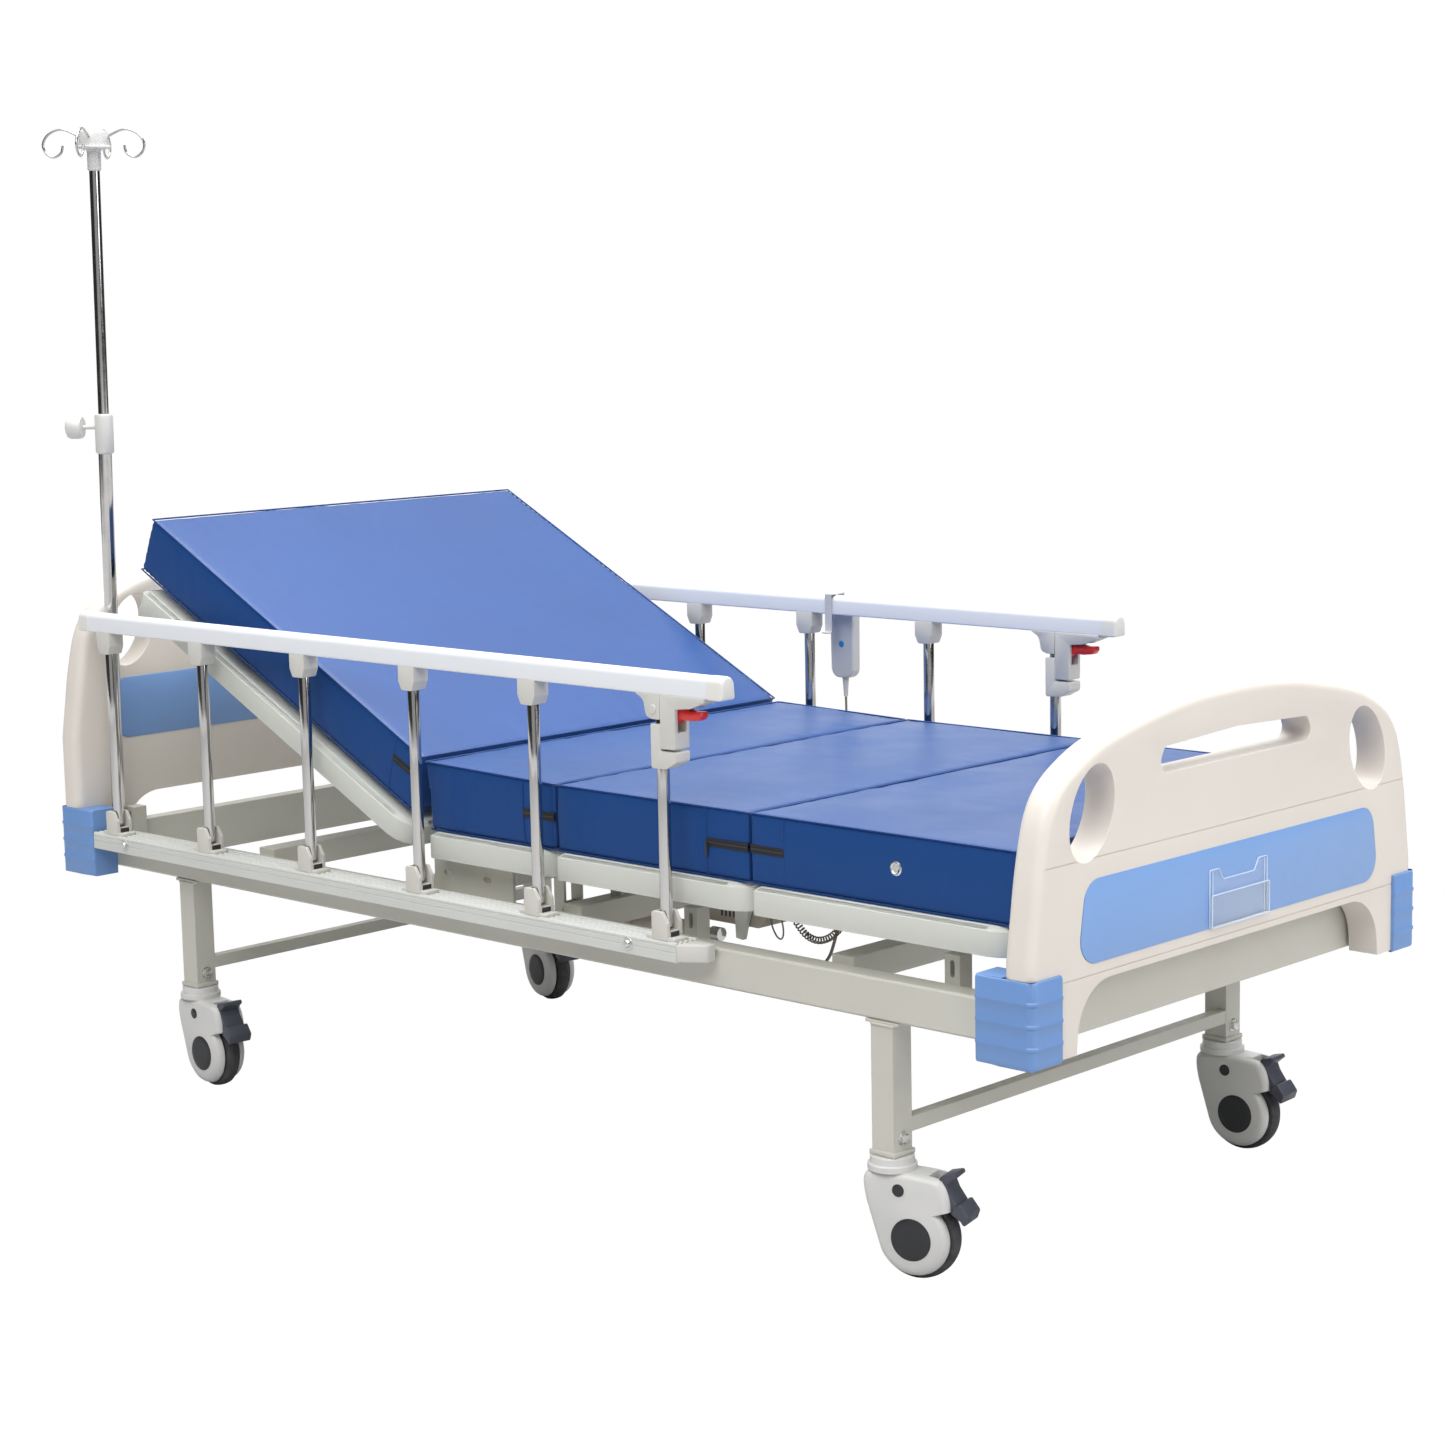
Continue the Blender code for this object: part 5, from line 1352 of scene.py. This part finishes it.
def hook_wire(turn):
    path = [(0.020, 1.247), (0.055, 1.262), (0.080, 1.255), (0.092, 1.238), (0.088, 1.222), (0.074, 1.214),
            (0.060, 1.221), (0.056, 1.234)]
    return tube(curve_through([on_pole(h, out, turn) for out, h in path], 8), 0.0022, 12)


def make_pole(mats):
    lower = turned([(0.0120, 0.0), (0.0120, 0.694)], POLE_BASE, POLE_DIR, 40)
    show("iv_pole_lower_visual", lower, mats["steel"], "frame", "stainless", ["iv_pole_lower"])
    clamp = turned([(0.0122, 0.690), (0.0150, 0.6915), (0.0165, 0.6945), (0.0165, 0.7560), (0.0152, 0.7600),
                    (0.0100, 0.7618)],
                   POLE_BASE, POLE_DIR, 40)
    show("iv_pole_clamp", clamp, mats["white"], "frame", "caster_plastic")
    upper = turned([(0.0095, 0.465), (0.0095, 1.192)], POLE_BASE, POLE_DIR, 36)
    show("iv_pole_upper_visual", upper, mats["steel"], "iv_pole_upper", "stainless", ["iv_pole_upper"])
    hub = turned([(0.0100, 1.190), (0.0120, 1.192), (0.0122, 1.224), (0.0150, 1.2270), (0.0300, 1.2285),
                  (0.0315, 1.2300),
                  (0.0312, 1.2325), (0.0275, 1.2345), (0.0262, 1.2400), (0.0260, 1.2540), (0.0235, 1.2590),
                  (0.0100, 1.2625)],
                 POLE_BASE, POLE_DIR, 40)
    show("iv_pole_hub", hub, mats["white"], "iv_pole_upper", "caster_plastic")
    wires = [hook_wire(HOOK_TURN + k * pi / 2) for k in range(4)]
    show("iv_pole_hooks", wires, mats["steel"], "iv_pole_upper", "stainless")
    out = Vector((cos(KNOB_TURN), sin(KNOB_TURN), 0.0))
    root = on_pole(0.738) + out * 0.0169
    knob = turned([(0.0040, -0.001), (0.0040, 0.022), (0.0180, 0.0228), (0.0200, 0.0260), (0.0207, 0.0320),
                   (0.0207, 0.0440),
                   (0.0190, 0.0485), (0.0140, 0.0512), (0.0060, 0.0520)], root, out, 40)
    show("iv_knob_visual", knob, mats["white"], "iv_knob", "caster_plastic", ["iv_knob"])


def make_control_box(mats):
    outline = rounded([(0.100, 0.354), (0.214, 0.354), (0.231, 0.370), (0.231, 0.4040), (0.100, 0.4040)],
                      [0.004, 0.006, 0.006, 0.002, 0.002], 5)
    case = prism(outline, "Y", -0.042, 0.042, 0.0022, 3)
    show("control_box_visual", case, mats["drive"], "frame", "actuator_plastic", ["control_box"])
    # The five black strips stand in for the shade inside the vent slots: painted shade.
    vents = [block((0.130 + 0.009 * k, -0.0424, 0.3655), (0.1345 + 0.009 * k, -0.0410, 0.3800), 0.0002,
                   1) for k in range(5)]
    ports = [turned([(0.0062, -0.003), (0.0062, 0.0030), (0.0050, 0.0040)], (0.2310, y, z), (1, 0, 0), 24)
             for y, z in ((-0.030, 0.388), (-0.030, 0.3785), (0.0, 0.386), (0.030, 0.390))]
    show("control_box_vents", [*vents, *ports], mats["black"], "frame", "cord_jacket")
    loop = [(0.2300, 0.3720), (0.2350, 0.3560), (0.2440, 0.3430), (0.2530, 0.3400), (0.2580, 0.3480),
            (0.2570, 0.3640),
            (0.2500, 0.3780), (0.2400, 0.3860), (0.2300, 0.3880)]
    wire = tube(curve_through([Vector((x, -0.030, z)) for x, z in loop], 6), 0.0014, 8)
    show("control_box_loop", wire, mats["cord"], "frame", "cord_jacket")


def make_handset(mats):
    body = rounded([(-0.086, 0.690), (-0.034, 0.690), (-0.032, 0.840), (-0.088, 0.840)],
                   [0.018, 0.018, 0.008, 0.008], 8)
    shell = prism(body, "Y", 0.4874, 0.5090, 0.0035, 4)
    over = [prism(rectangle(-0.068, 0.4525, -0.052, 0.4890, 0.001, 2), "Z", 0.8440, 0.8468, 0.0006, 1),
            block((-0.068, 0.4520, 0.7770), (-0.052, 0.4533, 0.8455), 0.0005, 1),
            block((-0.068, 0.4425, 0.7752), (-0.052, 0.4533, 0.7783), 0.0008, 1),
            block((-0.068, 0.4874, 0.8300), (-0.052, 0.4890, 0.8468), 0.0005, 1)]
    sleeve = turned([(0.0060, 0.0), (0.0058, 0.008), (0.0050, 0.010), (0.0053, 0.014), (0.0046, 0.017),
                     (0.0048, 0.021), (0.0042, 0.024),
                     (0.0043, 0.028), (0.0038, 0.0355)], (-0.060, 0.4980, 0.6910), (0, 0, -1), 24)
    show("handset_visual", [shell, *over, sleeve], mats["grey"], "handset", "handset_plastic", ["handset"])
    keys = [turned([(0.0062, -0.001), (0.0062, 0.0010), (0.0052, 0.0018)], (x, 0.5090, z), (0, 1, 0), 24)
            for x in (-0.070, -0.050) for z in (0.726, 0.750, 0.774, 0.798)]
    show("handset_keys", keys, mats["dot"], "handset", "bumper_plastic")
    dot = turned([(0.0060, -0.001), (0.0060, 0.0003), (0.0052, 0.0007)], (-0.060, 0.4874, 0.752),
                 (0, -1, 0), 32)
    show("handset_dot", dot, mats["dot"], "handset", "bumper_plastic")


# ---------------------------------------------------------------- whole bed


def main():
    make_camera()
    make_studio()
    mats = make_materials()
    make_leads(mats)
    make_boards(mats)
    make_card_holder(mats)
    make_bumpers(mats)
    make_decks(mats)
    make_mattress(mats)
    for place in SIDES:
        make_side_rail(mats, place)
    for place in CORNERS:
        make_caster(mats, place)
    make_leg_details(mats)
    make_pole(mats)
    make_control_box(mats)
    make_handset(mats)
    for name in ("bed_frame", "leg_frame_head", "leg_frame_foot"):
        paint_node(name, mats["paint"])
    for name in ("back_drive", "thigh_drive"):
        paint_node(name, mats["drive"])
        paint_node(f"{name}_rod", mats["steel"])
    view = bpy.context.scene.view_settings
    view.view_transform = "Standard"
    view.look = "None"


main()
